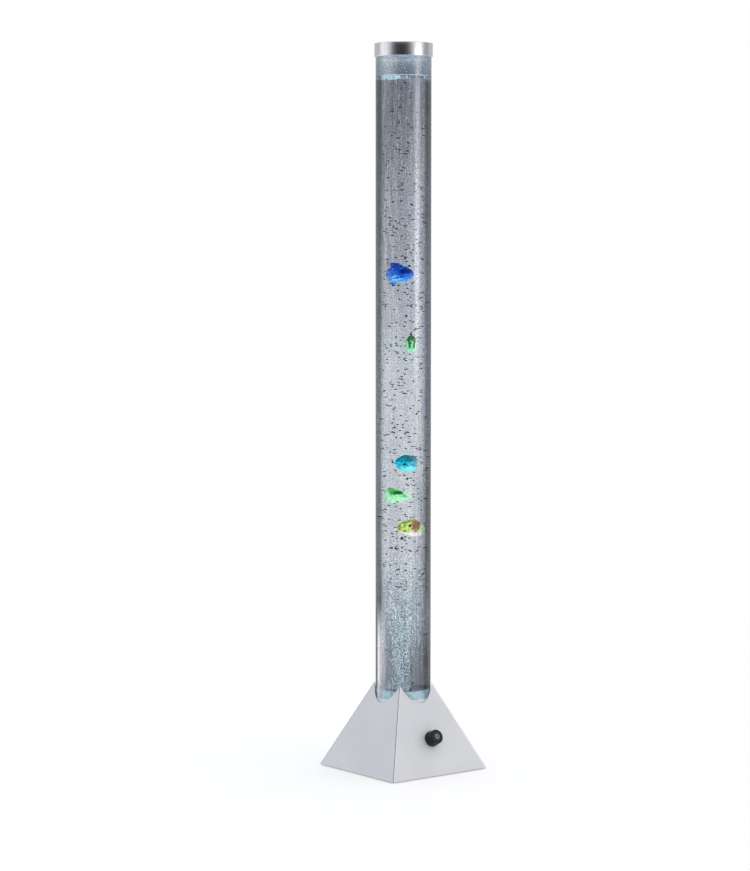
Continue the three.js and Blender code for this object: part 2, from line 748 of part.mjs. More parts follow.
// The lower hose runs from the pump's outlet out and up to the valve
function lowerHose() {
  const high = valveCentreHeight - valveLength / 2 - seatGap;
  const centreZ = pumpOutletHeight + hoseBendRadius;
  const xAt = (degrees) => diaphragmX * (-degrees / 90);
  const points = [
    [diaphragmX, pumpOutletTip - hoseOnNipple, pumpOutletHeight],
    [diaphragmX, pumpOutletTip, pumpOutletHeight],
    ...bendPoints(hoseBendStartY, centreZ, [-90, -65, -40, -15, 0], xAt),
    [0, valveCentreY, high - hoseOnNipple],
    [0, valveCentreY, high],
  ];
  return part("hose_lower", hoseAlong(points), material.silicone);
}

// Air pump: everything is set out from the case's outer floor
function pumpMat() {
  const slab = block(pumpLength, pumpWidth, matThickness, 0, 0, plateTop + seatGap);
  return part("pump_mat", slab, material.foam);
}

const coreBack = -pumpLength / 2 + pumpWall + seatGap;
const coreBottom = pumpWall + coreFloorGap;
const coreMiddle = coreBottom + coreThickness / 2;
const magnetX = coreBack + coreBackThickness + coreLegLength + magnetAirGap + magnetThickness / 2;
const armEnd = magnetX + magnetThickness / 2 + seatGap;
const armPivotX = pumpLength / 2 - pumpWall - armPivotInset;
const armLength = armPivotX - armEnd;

function pumpCase() {
  const outer = block(pumpLength, pumpWidth, pumpHeight, 0, 0, 0);
  const hollow = block(pumpLength - 2 * pumpWall, pumpWidth - 2 * pumpWall, pumpHeight, 0, 0, pumpWall);
  const outletHole = rodAlongY(valveNippleRadius + seatGap, 0, pumpWidth, smallFacets);
  outletHole.translate(diaphragmX, 0, outletHeight);
  const leadHole = rodAlongY(leadRadius + seatGap, 0, pumpLength, smallFacets).rotateZ(Math.PI / 2);
  leadHole.translate(0, pumpWidth / 4, coreMiddle + coreThickness);
  const pin = rod(pivotPinRadius, pumpWall / 2, pumpHeight - seatGap, smallFacets).translate(armPivotX, 0, 0);
  const shelfHeight = coreFloorGap - seatGap + pumpWall / 2;
  const shelfX = coreBack + coreBackThickness / 2;
  const shelf = block(coreBackThickness, coreWidth, shelfHeight, shelfX, 0, pumpWall / 2);
  const shell = cut(outer, hollow, outletHole, leadHole);
  return part("pump_case", joined(shell, pin, shelf).translate(0, 0, pumpFloor), material.pump);
}

function pumpCover() {
  const bottom = pumpHeight + seatGap;
  const plate = block(pumpLength, pumpWidth, pumpCoverThickness, 0, 0, bottom);
  const lipLength = pumpLength - 2 * (pumpWall + seatGap);
  const lipWidth = pumpWidth - 2 * (pumpWall + seatGap);
  const lipBottom = bottom - pumpCoverLip;
  const lip = block(lipLength, lipWidth, pumpCoverLip + pumpCoverThickness / 2, 0, 0, lipBottom);
  const insideLength = lipLength - 2 * pumpWall;
  const insideWidth = lipWidth - 2 * pumpWall;
  const inside = block(insideLength, insideWidth, pumpCoverLip + cutOverrun, 0, 0, lipBottom - cutOverrun);
  return part("pump_cover", cut(joined(plate, lip), inside).translate(0, 0, pumpFloor), material.pump);
}

function pumpCore() {
  const barX = coreBack + coreBackThickness / 2;
  const bar = block(coreBackThickness, coreWidth, coreThickness, barX, 0, coreBottom);
  const legX = coreBack + coreBackThickness / 2 + coreLegLength / 2;
  const reach = coreLegLength + coreBackThickness;
  const sideY = (coreWidth - coreLegWidth) / 2;
  const legs = [
    block(reach, coreLegWidth, coreThickness, legX, sideY, coreBottom),
    block(reach, coreLegWidth, coreThickness, legX, -sideY, coreBottom),
    block(reach, coreMiddleLegWidth, coreThickness, legX, 0, coreBottom),
  ];
  return part("pump_core", joined(bar, ...legs).translate(0, 0, pumpFloor), material.iron);
}

function pumpCoil() {
  const innerWidth = coreMiddleLegWidth + 2 * seatGap;
  const innerHeight = coreThickness + 2 * seatGap;
  const radius = Math.min(coilWall, (coreWidth - 2 * coreLegWidth - innerWidth) / 2 - seatGap);
  const floorRoom = Math.min(coilWall, coreFloorGap - 2 * seatGap);
  const x = coreBack + coreBackThickness + seatGap + coilLength / 2;
  const bottom = coreBottom - seatGap - floorRoom;
  const wound = block(coilLength, innerWidth + 2 * radius, innerHeight + 2 * floorRoom, x, 0, bottom);
  const hole = block(coilLength + 2 * cutOverrun, innerWidth, innerHeight, x, 0, coreBottom - seatGap);
  return part("pump_coil", cut(wound, hole).translate(0, 0, pumpFloor), material.copper);
}

function pumpArm() {
  const blade = block(armLength, armThickness, armHeight, armPivotX - armLength / 2, 0, coreBottom);
  const bossBottom = pumpWall + runningGap;
  const boss = rod(armBossRadius, bossBottom, bossBottom + armBossHeight).translate(armPivotX, 0, 0);
  const eye = rod(pivotPinRadius + runningGap, 0, pumpHeight, smallFacets).translate(armPivotX, 0, 0);
  const magnet = block(magnetThickness, magnetWidth, armHeight, magnetX, 0, coreBottom);
  return [
    part("pump_arm", cut(joined(blade, boss), eye).translate(0, 0, pumpFloor), material.holder),
    part("pump_magnet", magnet.translate(0, 0, pumpFloor), material.iron),
  ];
}

function pumpDiaphragm() {
  const stemStart = armThickness / 2 + seatGap;
  const discStart = stemStart + diaphragmStemLength;
  const stem = rodAlongY(diaphragmStemRadius, stemStart, discStart + diaphragmThickness / 2, smallFacets);
  const disc = rodAlongY(diaphragmRadius, discStart, discStart + diaphragmThickness);
  return part("pump_diaphragm",
    joined(stem, disc).translate(diaphragmX, 0, pumpFloor + coreMiddle), material.rubber);
}

function pumpHead() {
  const discEnd = armThickness / 2 + seatGap + diaphragmStemLength + diaphragmThickness;
  const start = discEnd + headGap;
  const end = pumpWidth / 2 - pumpWall - seatGap;
  const middle = (start + end) / 2;
  const chamber = block(headWidth, end - start, headWidth, diaphragmX, middle, coreMiddle - headWidth / 2);
  const outlet = rodAlongY(valveNippleRadius, middle, pumpOutletTip, smallFacets);
  const bore = rodAlongY(valveBoreRadius, start - cutOverrun, pumpOutletTip + cutOverrun, smallFacets);
  outlet.translate(diaphragmX, 0, outletHeight);
  bore.translate(diaphragmX, 0, outletHeight);
  return part("pump_head", cut(joined(chamber, outlet), bore).translate(0, 0, pumpFloor), material.pump);
}

// Control board
function controlBoard() {
  const slab = block(boardLength, boardDepth, boardThickness, boardCentreX, boardCentreY, boardUnderside);
  const hole = rod(postPinRadius + seatGap, boardUnderside - cutOverrun, boardTop + cutOverrun, smallFacets);
  const holes = boardPostPlaces().map(([x, y]) => hole.clone().translate(x, y, 0));
  return part("control_board", cut(slab, ...holes), material.circuit);
}

function boardPieces() {
  const bottom = boardTop + seatGap;
  const chipX = boardCentreX + boardLength / 4;
  const chipY = boardCentreY + boardDepth / 4;
  const chip = block(chipLength, chipWidth, chipHeight, chipX, chipY, bottom);
  const body = block(terminalLength, terminalDepth, terminalHeight, boardCentreX, terminalCentreY, bottom);
  return [
    part("control_chip", chip, material.lead),
    part("terminal_block", body, material.pump),
  ];
}

// Rotary switch: Z is the way out of the front face
function switchPieces() {
  const group = new THREE.Group();
  group.applyMatrix4(frontFrame);
  const bodyTop = -sheetThickness - seatGap;
  const bodyBottom = bodyTop - switchBodyDepth;
  const body = rod(switchBodyRadius, bodyBottom, bodyTop);
  const bushing = rod(bushingRadius, bodyTop - seatGap, bushingAboveFace);
  const shaftFloor = bodyBottom + switchBodyDepth / 4;
  const shaftBore = rod(shaftRadius + seatGap, shaftFloor - seatGap, bushingAboveFace + cutOverrun);
  const hexagon = circlePoints(nutFlatRadius / Math.cos(Math.PI / sixSides), sixSides);
  const nut = cut(prism(hexagon, seatGap, nutThickness),
    rod(bushingRadius + seatGap, seatGap - cutOverrun, seatGap + nutThickness + cutOverrun));
  group.add(
    part("switch_body", cut(joined(body, bushing), shaftBore), material.lead),
    part("switch_nut", nut, material.steel),
    part("switch_shaft", rod(shaftRadius, shaftFloor, shaftAboveFace), material.steel),
    part("knob", knobGeometry(), material.knob),
    part("knob_cap", knobCapGeometry(), material.knobCap),
  );
  return group;
}

// The knob: a wide skirt, a narrower grip, a hollow back, a bore and a pocket for its cap
function knobGeometry() {
  const top = knobFaceGap + knobLength;
  const skirtTop = knobFaceGap + knobSkirtHeight;
  const pocketRadius = knobCapRadius + seatGap;
  const boreRadius = shaftRadius + seatGap;
  const boreTop = shaftAboveFace + seatGap;
  const profile = [
    [0, boreTop],
    [boreRadius, boreTop],
    [boreRadius, knobFaceGap + knobHollowDepth],
    [knobHollowRadius, knobFaceGap + knobHollowDepth],
    [knobHollowRadius, knobFaceGap],
    [knobSkirtRadius, knobFaceGap],
    [knobSkirtRadius, skirtTop],
    [knobRadius, skirtTop + knobSkirtRadius - knobRadius],
    [knobRadius, top - knobEdgeRound],
    [knobRadius - knobEdgeRound, top],
    [pocketRadius, top],
    [pocketRadius, top - knobCapThickness],
    [0, top - knobCapThickness],
  ];
  return turned(profile, roundFacets);
}

// The inset disc on the knob's front, with a short notch that points
function knobCapGeometry() {
  const top = knobFaceGap + knobLength;
  const bottom = top - knobCapThickness + seatGap;
  const disc = rod(knobCapRadius, bottom, top);
  const notch = block(pointerWidth, pointerLength, pointerDepth + cutOverrun,
    0, knobCapRadius - pointerLength / 2, top - pointerDepth);
  return cut(disc, notch);
}

// Inlet: Z is the way out of the rear face
function jackPieces() {
  const group = new THREE.Group();
  group.applyMatrix4(rearFrame);
  const inner = -sheetThickness - jackBodyLength;
  const flange = rod(jackFlangeRadius, seatGap, seatGap + jackFlangeThickness);
  const barrel = rod(jackBarrelRadius, inner, seatGap + jackFlangeThickness / 2);
  const mouthTop = seatGap + jackFlangeThickness;
  const mouth = ring(jackMouthRadius, jackPinRadius, mouthTop - jackMouthDepth, mouthTop + cutOverrun);
  const nutTop = -sheetThickness - seatGap;
  const nut = ring(jackFlangeRadius, jackBarrelRadius + seatGap, nutTop - jackNutThickness, nutTop);
  group.add(
    part("power_inlet", cut(joined(flange, barrel), mouth), material.lead),
    part("inlet_nut", nut, material.steel),
  );
  return group;
}

// Leads: each ends face to face with what it meets, square to it
function terminalEnd(share) {
  const x = boardCentreX + (share * terminalLength) / 2;
  const end = terminalFaceY - seatGap;
  return [[x, end - leadStub, leadHeight], [x, end, leadHeight]];
}

function leadStarts() {
  const out = (frame, depth) => [0, leadStub].map((further) =>
    new THREE.Vector3(0, 0, depth - further).applyMatrix4(frame).toArray());
  const boardEnd = lightBoardUnderside - seatGap;
  const pumpSide = -pumpLength / 2 - seatGap;
  const pumpLeadHeight = pumpFloor + coreMiddle + coreThickness;
  return {
    inlet_lead: out(rearFrame, -sheetThickness - jackBodyLength - seatGap),
    switch_lead: out(frontFrame, -sheetThickness - seatGap - switchBodyDepth - seatGap),
    pump_lead: [0, leadStub].map((further) => [pumpSide - further, pumpWidth / 4, pumpLeadHeight]),
    light_lead: [0, leadStub].map((further) => [lightLeadX, lightLeadY, boardEnd - further]),
  };
}

function leads() {
  return Object.entries(leadStarts()).map(([name, start]) => {
    const between = leadRouteShares[name].map(([x, y, z]) => [
      x * plateHalfWidth,
      y * (y < 0 ? plateHalfWidth : terminalFaceY),
      THREE.MathUtils.lerp(boardTop, lightBoardUnderside, z),
    ]);
    const route = [...start, ...between, ...terminalEnd(terminalShares[name])];
    return part(name, swept(route, leadRadius, leadFacets, leadSteps), material.lead);
  });
}

// Cap with the seal that sits on the tube's rim
function cap() {
  const sealBottom = tubeTop + seatGap;
  const sealTop = sealBottom + capSealThickness;
  const ceiling = sealTop + seatGap;
  const top = ceiling + capTopThickness;
  const skirtInner = tubeOuterRadius + runningGap;
  const profile = [
    [0, ceiling],
    [skirtInner, ceiling],
    [skirtInner, top - capHeight],
    [capOuterRadius, top - capHeight],
    [capOuterRadius, top - capEdgeRound],
    [capOuterRadius - capEdgeRound, top],
    [0, top],
  ];
  const vent = rod(capVentRadius, ceiling - cutOverrun, top + cutOverrun, smallFacets);
  const seal = ring(tubeOuterRadius, tubeOuterRadius - capSealWidth, sealBottom, sealTop, largeFacets);
  return [
    part("cap", cut(turned(profile, largeFacets), vent), material.chrome),
    part("cap_seal", seal, material.rubber),
  ];
}

// Fish
function finPlate(shares, fish) {
  const points = shares.map(([x, z]) => new THREE.Vector2(x * fish.length, z * fish.height));
  return prism(points, -finThickness / 2, finThickness).rotateX(Math.PI / 2);
}

function fishGeometry(fish) {
  const form = formShares[fish.form];
  const bodyRadius = (form.body * fish.height) / 2;
  const points = bodyProfileShares.map(([x, radius]) =>
    new THREE.Vector2(radius * bodyRadius, x * fish.length));
  const body = new THREE.LatheGeometry(points, fishSideFacets).rotateZ(-Math.PI / 2);
  body.scale(1, 1, fish.thickness / (2 * bodyRadius)).rotateX(Math.PI / 2);
  const sideFins = [-1, 1].map((side) => {
    const fin = finPlate(sideFinShares, fish);
    const root = sideFinShares[0][1] * fish.height;
    fin.translate(0, 0, -root).rotateX(-side * THREE.MathUtils.degToRad(sideFinSplay));
    return fin.translate(0, (side * fish.thickness) / 2 - side * finThickness, root);
  });
  return joined(body, ...form.fins.map((shares) => finPlate(shares, fish)), ...sideFins);
}

function fishPlace(fish) {
  const bearing = THREE.MathUtils.degToRad(viewerBearing);
  const right = bearing + Math.PI / 2;
  return [
    fish.forward * Math.cos(bearing) + fish.sideways * Math.cos(right),
    fish.forward * Math.sin(bearing) + fish.sideways * Math.sin(right),
    fish.level,
  ];
}

function fishes() {
  return fishTable.map((fish) => {
    const mesh = part(fish.name, fishGeometry(fish), paint(fish.colour, 0.35));
    mesh.rotation.z = THREE.MathUtils.degToRad(fish.heading);
    mesh.position.set(...fishPlace(fish));
    return mesh;
  });
}

// Fixings
function screws() {
  const sides = ["right", "rear", "left", "front"];
  const corners = ["rear_right", "rear_left", "front_left", "front_right"];
  return [
    ...plateScrewPlaces.map((place, i) =>
      screw(`plate_screw_${sides[i]}`, plateUnderside, plateScrewLength, place)),
    ...legPlaces.map((place, i) =>
      screw(`leg_screw_${corners[i]}`, plateUnderside, legScrewLength, place)),
    ...plugScrewPlaces.map((place, i) =>
      screw(`plug_screw_${i + 1}`, lightBoardUnderside, plugScrewLength, place)),
  ];
}

const lamp = new THREE.Group();
lamp.add(
  housing(), bottomPlate(), ...feet(), ...screws(),
  tubeHolder(), tubeSeal(), clearTube(), tubePlug(), ...cap(),
  lightBoard(), ...lights(), nozzle(), airStone(), checkValve(), upperHose(), lowerHose(),
  pumpMat(), pumpCase(), pumpCover(), pumpCore(), pumpCoil(), ...pumpArm(), pumpDiaphragm(), pumpHead(),
  controlBoard(), ...boardPieces(), switchPieces(), jackPieces(), ...leads(),
  ...fishes(),
);

export default lamp;
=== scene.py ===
"""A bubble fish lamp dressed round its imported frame: metres, +Z up, the knob towards -Y."""

import json
import math
import random

import bmesh
import bpy
from mathutils import Matrix, Vector
from mathutils.geometry import tessellate_polygon


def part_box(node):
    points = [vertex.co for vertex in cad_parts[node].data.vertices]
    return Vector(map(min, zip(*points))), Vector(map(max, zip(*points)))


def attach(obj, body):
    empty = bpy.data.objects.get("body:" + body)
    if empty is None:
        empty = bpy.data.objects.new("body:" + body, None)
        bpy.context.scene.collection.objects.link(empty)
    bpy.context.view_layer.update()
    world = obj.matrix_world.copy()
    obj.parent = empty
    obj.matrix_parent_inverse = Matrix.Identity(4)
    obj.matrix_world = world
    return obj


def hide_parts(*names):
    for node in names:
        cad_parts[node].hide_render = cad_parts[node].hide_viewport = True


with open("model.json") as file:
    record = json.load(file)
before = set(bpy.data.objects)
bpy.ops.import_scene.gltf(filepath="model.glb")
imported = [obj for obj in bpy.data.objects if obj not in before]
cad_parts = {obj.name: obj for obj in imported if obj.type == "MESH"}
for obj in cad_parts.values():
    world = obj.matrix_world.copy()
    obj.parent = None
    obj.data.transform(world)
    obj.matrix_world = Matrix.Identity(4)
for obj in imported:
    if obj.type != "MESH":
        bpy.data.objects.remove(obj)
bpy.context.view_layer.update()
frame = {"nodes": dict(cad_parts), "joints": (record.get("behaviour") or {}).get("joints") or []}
scene = bpy.context.scene
scene.view_settings.view_transform = "Standard"

MM = 0.001

# The camera, at the photograph's place
CAMERA_PLACE = (-2.60225, -3.26045, 0.8434)
CAMERA_AIM = (0.61359, 0.78637, -0.07164)
CAMERA_LENS = 106.52
VIEWER_BEARING = math.radians(-128.6)  # from the lamp to the camera, from +X

# Sizes that the frame's pieces share
TUBE_LOW, TUBE_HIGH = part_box("tube")
TUBE_RADIUS = TUBE_HIGH.x
WALL = 3 * MM
TUBE_INNER = TUBE_RADIUS - WALL
PLUG_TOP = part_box("tube_plug")[1].z
PLUG_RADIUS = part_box("tube_plug")[1].x
WATER_TOP = 1121 * MM
SPRAY = 34  # millimetres over the water that its spray reaches
WATER_RADIUS = TUBE_INNER + 0.05 * MM  # a little into the wall, so that no air lies between them
FACE_SLOPE = math.atan(211 / 97)  # where the faces would meet, over half the base's width
KNOB_FRONT = 17.8  # millimetres along the knob's shaft from KNOB_PLACE
KNOB_PLACE = next(j["pos_m"] for j in frame["joints"] if j["name"] == "knob_turn")

FINE, MIDDLE = 128, 64  # flats of a large turned piece and of a smaller one


def knob_frame():
    """From the knob's own axes, along its shaft, to the lamp's."""
    return Matrix.Translation(KNOB_PLACE) @ Matrix.Rotation(FACE_SLOPE, 4, "X")


# Colours and node trees

def tone(code):
    """A colour written as on a screen, for a socket."""
    parts = [int(code[i:i + 2], 16) / 255 for i in (0, 2, 4)]
    linear = [p / 12.92 if p <= 0.04045 else ((p + 0.055) / 1.055) ** 2.4 for p in parts]
    return (*linear, 1.0)


def grey(value):
    return (value, value, value, 1.0)


class Graph:
    """Builds a node tree: each call adds nodes, and returns what the last of them gives."""

    def __init__(self, owner):
        owner.use_nodes = True
        self.tree = owner.node_tree
        self.tree.nodes.clear()

    def put(self, socket, value):
        if isinstance(value, bpy.types.NodeSocket):
            self.tree.links.new(value, socket)
        else:
            socket.default_value = value

    def add(self, kind, inputs=None, out=0, **settings):
        node = self.tree.nodes.new("ShaderNode" + kind)
        for key, value in settings.items():
            setattr(node, key, value)
        for key, value in (inputs or {}).items():
            self.put(node.inputs[key], value)
        return node.outputs[out]

    def sum(self, operation, a, b=0.0, c=0.0):
        return self.add("Math", {0: a, 1: b, 2: c}, operation=operation)

    def times(self, made, *factors):
        for factor in factors:
            made = self.sum("MULTIPLY", made, factor)
        return made

    def length(self, a, b):
        return self.sum("SQRT", self.sum("MULTIPLY_ADD", a, a, self.times(b, b)))

    def mix(self, factor, a, b, **settings):
        return self.add("Mix", {0: factor, 6: a, 7: b}, out=2, data_type="RGBA", **settings)

    def scaled(self, colour, factor):
        return self.mix(1.0, colour, factor, blend_type="MULTIPLY", clamp_result=True)

    def shift(self, value, low, high, to_low=0.0, to_high=1.0):
        """The value moved from one range to another, held at its ends, softly."""
        return self.add("MapRange", {0: value, 1: low, 2: high, 3: to_low, 4: to_high},
                        interpolation_type="SMOOTHSTEP")

    def band(self, value, a, b, c, d):
        """1 between b and c, falling softly to 0 at a and at d."""
        return self.times(self.shift(value, a, b), self.shift(value, c, d, 1.0, 0.0))

    def place(self):
        """The X, Y and Z of the point, in the piece's own axes."""
        return self.add("SeparateXYZ", {0: self.add("TexCoord", out="Object")}).node.outputs

    def ramp(self, factor, stops):
        output = self.add("ValToRGB", {0: factor})
        elements = output.node.color_ramp.elements
        while len(elements) < len(stops):
            elements.new(1.0)
        for element, (position, colour) in zip(elements, stops):
            element.position = position
            element.color = colour
        return output

    def coords(self, scale=(1, 1, 1)):
        return self.add("Mapping", {"Vector": self.add("TexCoord", out="Object"), "Scale": scale})

    def noise(self, scale, vector=None, detail=2.0, roughness=0.5):
        return self.add("TexNoise", {
            "Vector": self.coords() if vector is None else vector,
            "Scale": scale, "Detail": detail, "Roughness": roughness,
        })

    def bump(self, height, strength, distance):
        return self.add("Bump", {"Height": height, "Strength": strength, "Distance": distance})

    def principled(self, **inputs):
        return self.add("BsdfPrincipled", {k.replace("_", " "): v for k, v in inputs.items()})

    def close(self, shader, kind="OutputMaterial"):
        output = self.tree.nodes.new("ShaderNode" + kind)
        self.tree.links.new(shader, output.inputs["Surface"])


def new_graph(name):
    material = bpy.data.materials.new(name)
    return material, Graph(material)


def moulded(name, code, roughness, metallic=0.0, grain=900, relief=0.02, change=0.06, stretch=(1, 1, 1),
            coat=0.0, shine=0.5):
    """Plastic, rubber or metal with a fine grain, and slow changes of tone and gloss."""
    material, g = new_graph(name)
    slow = g.noise(18, detail=3.0)
    fine = g.noise(grain, g.coords(stretch), detail=4.0, roughness=0.6)
    colour = tone(code)
    dark = tuple(c * (1 - change) for c in colour[:3]) + (1.0,)
    light = tuple(min(1.0, c * (1 + change)) for c in colour[:3]) + (1.0,)
    base = g.mix(g.shift(slow, 0.3, 0.7), dark, light)
    base = g.mix(g.times(g.shift(fine, 0.35, 0.65), change), base, light)
    gloss = g.shift(fine, 0.3, 0.7, roughness - 0.06, roughness + 0.06)
    g.close(g.principled(
        Base_Color=base, Roughness=gloss, Metallic=metallic, Coat_Weight=coat, Coat_Roughness=0.15,
        Specular_IOR_Level=shine, Normal=g.bump(fine, relief * 10, 0.1 * MM),
    ))
    return material


def clear(name, tint, ior):
    """Clear plastic or water: it bends what is seen through it, and lets light straight in."""
    material, g = new_graph(name)
    glass = g.principled(Base_Color=tint(g), Roughness=0.0, IOR=ior, Transmission_Weight=1.0)
    path = g.add("LightPath").node.outputs
    passing = g.sum("MAXIMUM", path["Is Shadow Ray"], path["Is Diffuse Ray"])
    through = g.add("BsdfTransparent", {"Color": grey(0.96)})
    g.close(g.add("MixShader", {0: passing, 1: glass, 2: through}))
    return material


# Mesh helpers

def finish_piece(name, mesh, body, material, slot=None, replaces=(), smooth=None, matrix=None):
    """Makes a mesh an object that rides on a body, with its material and what it stands for; slot is not
    used.
    """
    piece = bpy.data.objects.new(name, mesh)
    scene.collection.objects.link(piece)
    if matrix is not None:
        piece.matrix_world = matrix
    mesh.materials.clear()
    for m in material if isinstance(material, (list, tuple)) else [material]:
        mesh.materials.append(m)
    if smooth is not None:
        mesh.shade_smooth()
        mesh.set_sharp_from_angle(angle=math.radians(smooth))
    if body:
        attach(piece, body)
    if replaces:
        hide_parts(*replaces)
    return piece


def round_axis(angle, radius, height):
    """A point at an angle round Z, a distance from it and a height."""
    return radius * math.cos(angle), radius * math.sin(angle), height


def mesh_of(name, points, faces):
    mesh = bpy.data.meshes.new(name)
    mesh.from_pydata([tuple(p) for p in points], [], faces)
    mesh.validate()
    mesh.update()
    return mesh


def rounded(profile, radius, steps):
    """The same closed or open profile with each inner corner rounded by up to a radius."""
    made = [profile[0]]
    for before, corner, after in zip(profile, profile[1:], profile[2:]):
        b, c, a = Vector(before), Vector(corner), Vector(after)
        reach = min(radius, (b - c).length * 0.45, (a - c).length * 0.45)
        start = c + (b - c).normalized() * reach
        end = c + (a - c).normalized() * reach
        for i in range(steps + 1):
            t = i / steps
            made.append(tuple(start * (1 - t) ** 2 + c * 2 * t * (1 - t) + end * t ** 2))
    made.append(profile[-1])
    return made


def turned(name, profile, segments, closed=False):
    """A mesh turned about Z from a profile of (radius, height); a closed profile makes a ring."""
    points, faces, rings = [], [], []
    for radius, height in profile:
        if radius < 1e-9:
            rings.append([len(points)] * segments)
            points.append((0.0, 0.0, height))
            continue
        first = len(points)
        rings.append(list(range(first, first + segments)))
        points.extend(round_axis(2 * math.pi * i / segments, radius, height) for i in range(segments))
    pairs = list(zip(rings, rings[1:]))
    if closed:
        pairs.append((rings[-1], rings[0]))
    for low, high in pairs:
        for i in range(segments):
            j = (i + 1) % segments
            corners = []
            for index in (low[i], low[j], high[j], high[i]):
                if index not in corners:
                    corners.append(index)
            if len(corners) > 2:
                faces.append(corners)
    return mesh_of(name, points, faces)


def facing_out(mesh):
    shape = bmesh.new()
    shape.from_mesh(mesh)
    bmesh.ops.recalc_face_normals(shape, faces=shape.faces)
    shape.to_mesh(mesh)
    shape.free()
    return mesh


def softened(node, name, key, slot, edge, body="lamp", segments=2):
    """A copy of a CAD node with its edges broken by so many millimetres, to stand for it."""
    mesh = frame["nodes"][node].data.copy()
    mesh.name = name
    shape = bmesh.new()
    shape.from_mesh(mesh)
    bmesh.ops.remove_doubles(shape, verts=shape.verts, dist=1e-6)
    bmesh.ops.dissolve_limit(shape, angle_limit=math.radians(0.5), verts=shape.verts, edges=shape.edges)
    width = edge * MM
    sharp = [e for e in shape.edges if e.is_manifold and e.calc_face_angle(0) > math.radians(28)
             and e.calc_length() > 2.2 * width]
    bmesh.ops.bevel(shape, geom=sharp, offset=width, segments=segments, profile=0.6,
                    affect="EDGES", clamp_overlap=True)
    shape.to_mesh(mesh)
    shape.free()
    finish_piece(name, mesh, body, look[key], slot, [node], 35)


def ball(rings, segments):
    """Corner points and faces of a low round ball of radius 1."""
    points, faces = [(0, 0, -1)], []
    for i in range(1, rings):
        tilt = math.pi * i / rings
        points.extend(round_axis(2 * math.pi * k / segments, math.sin(tilt), -math.cos(tilt))
                      for k in range(segments))
    points.append((0, 0, 1))
    top = len(points) - 1
    for k in range(segments):
        n = (k + 1) % segments
        faces.append((0, 1 + n, 1 + k))
        faces.append((top, top - segments + k, top - segments + n))
        for i in range(rings - 2):
            low = 1 + i * segments
            faces.append((low + k, low + n, low + segments + n, low + segments + k))
    return points, faces


def scattered(name, places, rings, segments, material):
    """A piece on the lamp of many small balls, each placed and shaped by a matrix."""
    points, faces = ball(rings, segments)
    all_points, all_faces = [], []
    for place in places:
        first = len(all_points)
        all_points.extend(place @ Vector(p) for p in points)
        all_faces.extend(tuple(first + i for i in face) for face in faces)
    finish_piece(name, mesh_of(name, all_points, all_faces), "lamp", material, smooth=60)


def threads(name, paths, radius):
    """One mesh of many thin round threads, each along its points, finer towards its ends."""
    segments = 5
    all_points, all_faces = [], []
    for path in paths:
        first = len(all_points)
        count = len(path)
        for i, point in enumerate(path):
            ahead = path[min(i + 1, count - 1)] - path[max(i - 1, 0)]
            turn = ahead.to_track_quat("Z", "X").to_matrix()
            size = radius * (0.35 + 0.65 * math.sin(math.pi * (i + 0.5) / count))
            for k in range(segments):
                out = turn @ Vector(round_axis(2 * math.pi * k / segments, 1, 0))
                all_points.append(point + out * size)
        for i in range(count - 1):
            for k in range(segments):
                n = (k + 1) % segments
                a, b = first + i * segments, first + (i + 1) * segments
                all_faces.append((a + k, a + n, b + n, b + k))
        all_faces.append(tuple(first + k for k in reversed(range(segments))))
        last = first + (count - 1) * segments
        all_faces.append(tuple(last + k for k in range(segments)))
    return mesh_of(name, all_points, all_faces)


# Studio: world, floor and camera

CHROME_STUDIO = [
    # the bearing from the viewer's side, to the right, and the brightness that polished metal shows there
    (-180, 0.70), (-165, 0.66), (-152, 0.62), (-130, 0.60), (-116, 0.56), (-100, 0.94), (-84, 1.08),
    (-68, 0.96), (-56, 0.66), (-46, 0.34), (-36, 0.15), (-26, 0.07), (-10, 0.045), (3, 0.055), (15, 0.12),
    (25, 0.26), (34, 0.52), (44, 0.92), (53, 1.28), (72, 1.28), (82, 0.80), (92, 0.47), (102, 0.40),
    (116, 0.50), (134, 0.66), (150, 0.56), (165, 0.64), (180, 0.70),
]


def make_world():
    """Even light, white where it shows plainly, and a dark and bright studio in what mirrors it."""
    world = bpy.data.worlds.new("studio")
    scene.world = world
    g = Graph(world)
    place = g.add("TexCoord", out="Generated")
    turned_round = g.add("VectorRotate", {"Vector": place, "Angle": -VIEWER_BEARING},
                         rotation_type="Z_AXIS")
    parts = g.add("SeparateXYZ", {0: turned_round}).node.outputs
    rise = parts["Z"]
    bearing = g.sum("ARCTAN2", parts["Y"], parts["X"])
    degrees = g.times(bearing, 180 / math.pi)
    around = g.ramp(g.sum("MULTIPLY_ADD", bearing, 1 / (2 * math.pi), 0.5),
                    [(b / 360 + 0.5, grey(v)) for b, v in CHROME_STUDIO])
    seen = g.mix(g.shift(g.sum("ABSOLUTE", rise), 0.16, 0.36), around, grey(0.92))
    right_card = g.times(g.band(degrees, 43, 59, 60, 77), g.band(rise, -0.075, 0.0, 0.056, 0.0757))
    seen = g.mix(right_card, seen, grey(4.4))
    low_card = g.times(g.band(degrees, -140, -128, -120, -70),
                       g.band(rise, -0.180, -0.1625, -0.152, -0.134))
    seen = g.mix(low_card, seen, (6.9, 6.8, 7.2, 1.0))
    even = g.mix(g.shift(parts["Y"], -1, 1), (0.80, 0.83, 0.89, 1.0), (1.18, 1.165, 1.15, 1.0))
    path = g.add("LightPath").node.outputs
    mirrored = g.sum("GREATER_THAN", path["Glossy Depth"], 0.5)
    plain = g.mix(g.sum("MAXIMUM", path["Is Glossy Ray"], mirrored), even, seen)
    white = g.sum("MAXIMUM", path["Is Camera Ray"], path["Is Transmission Ray"])
    white = g.times(white, g.sum("SUBTRACT", 1.0, mirrored))
    g.close(g.add("Background", {"Color": g.mix(white, plain, grey(1.0)), "Strength": 1.0}), "OutputWorld")


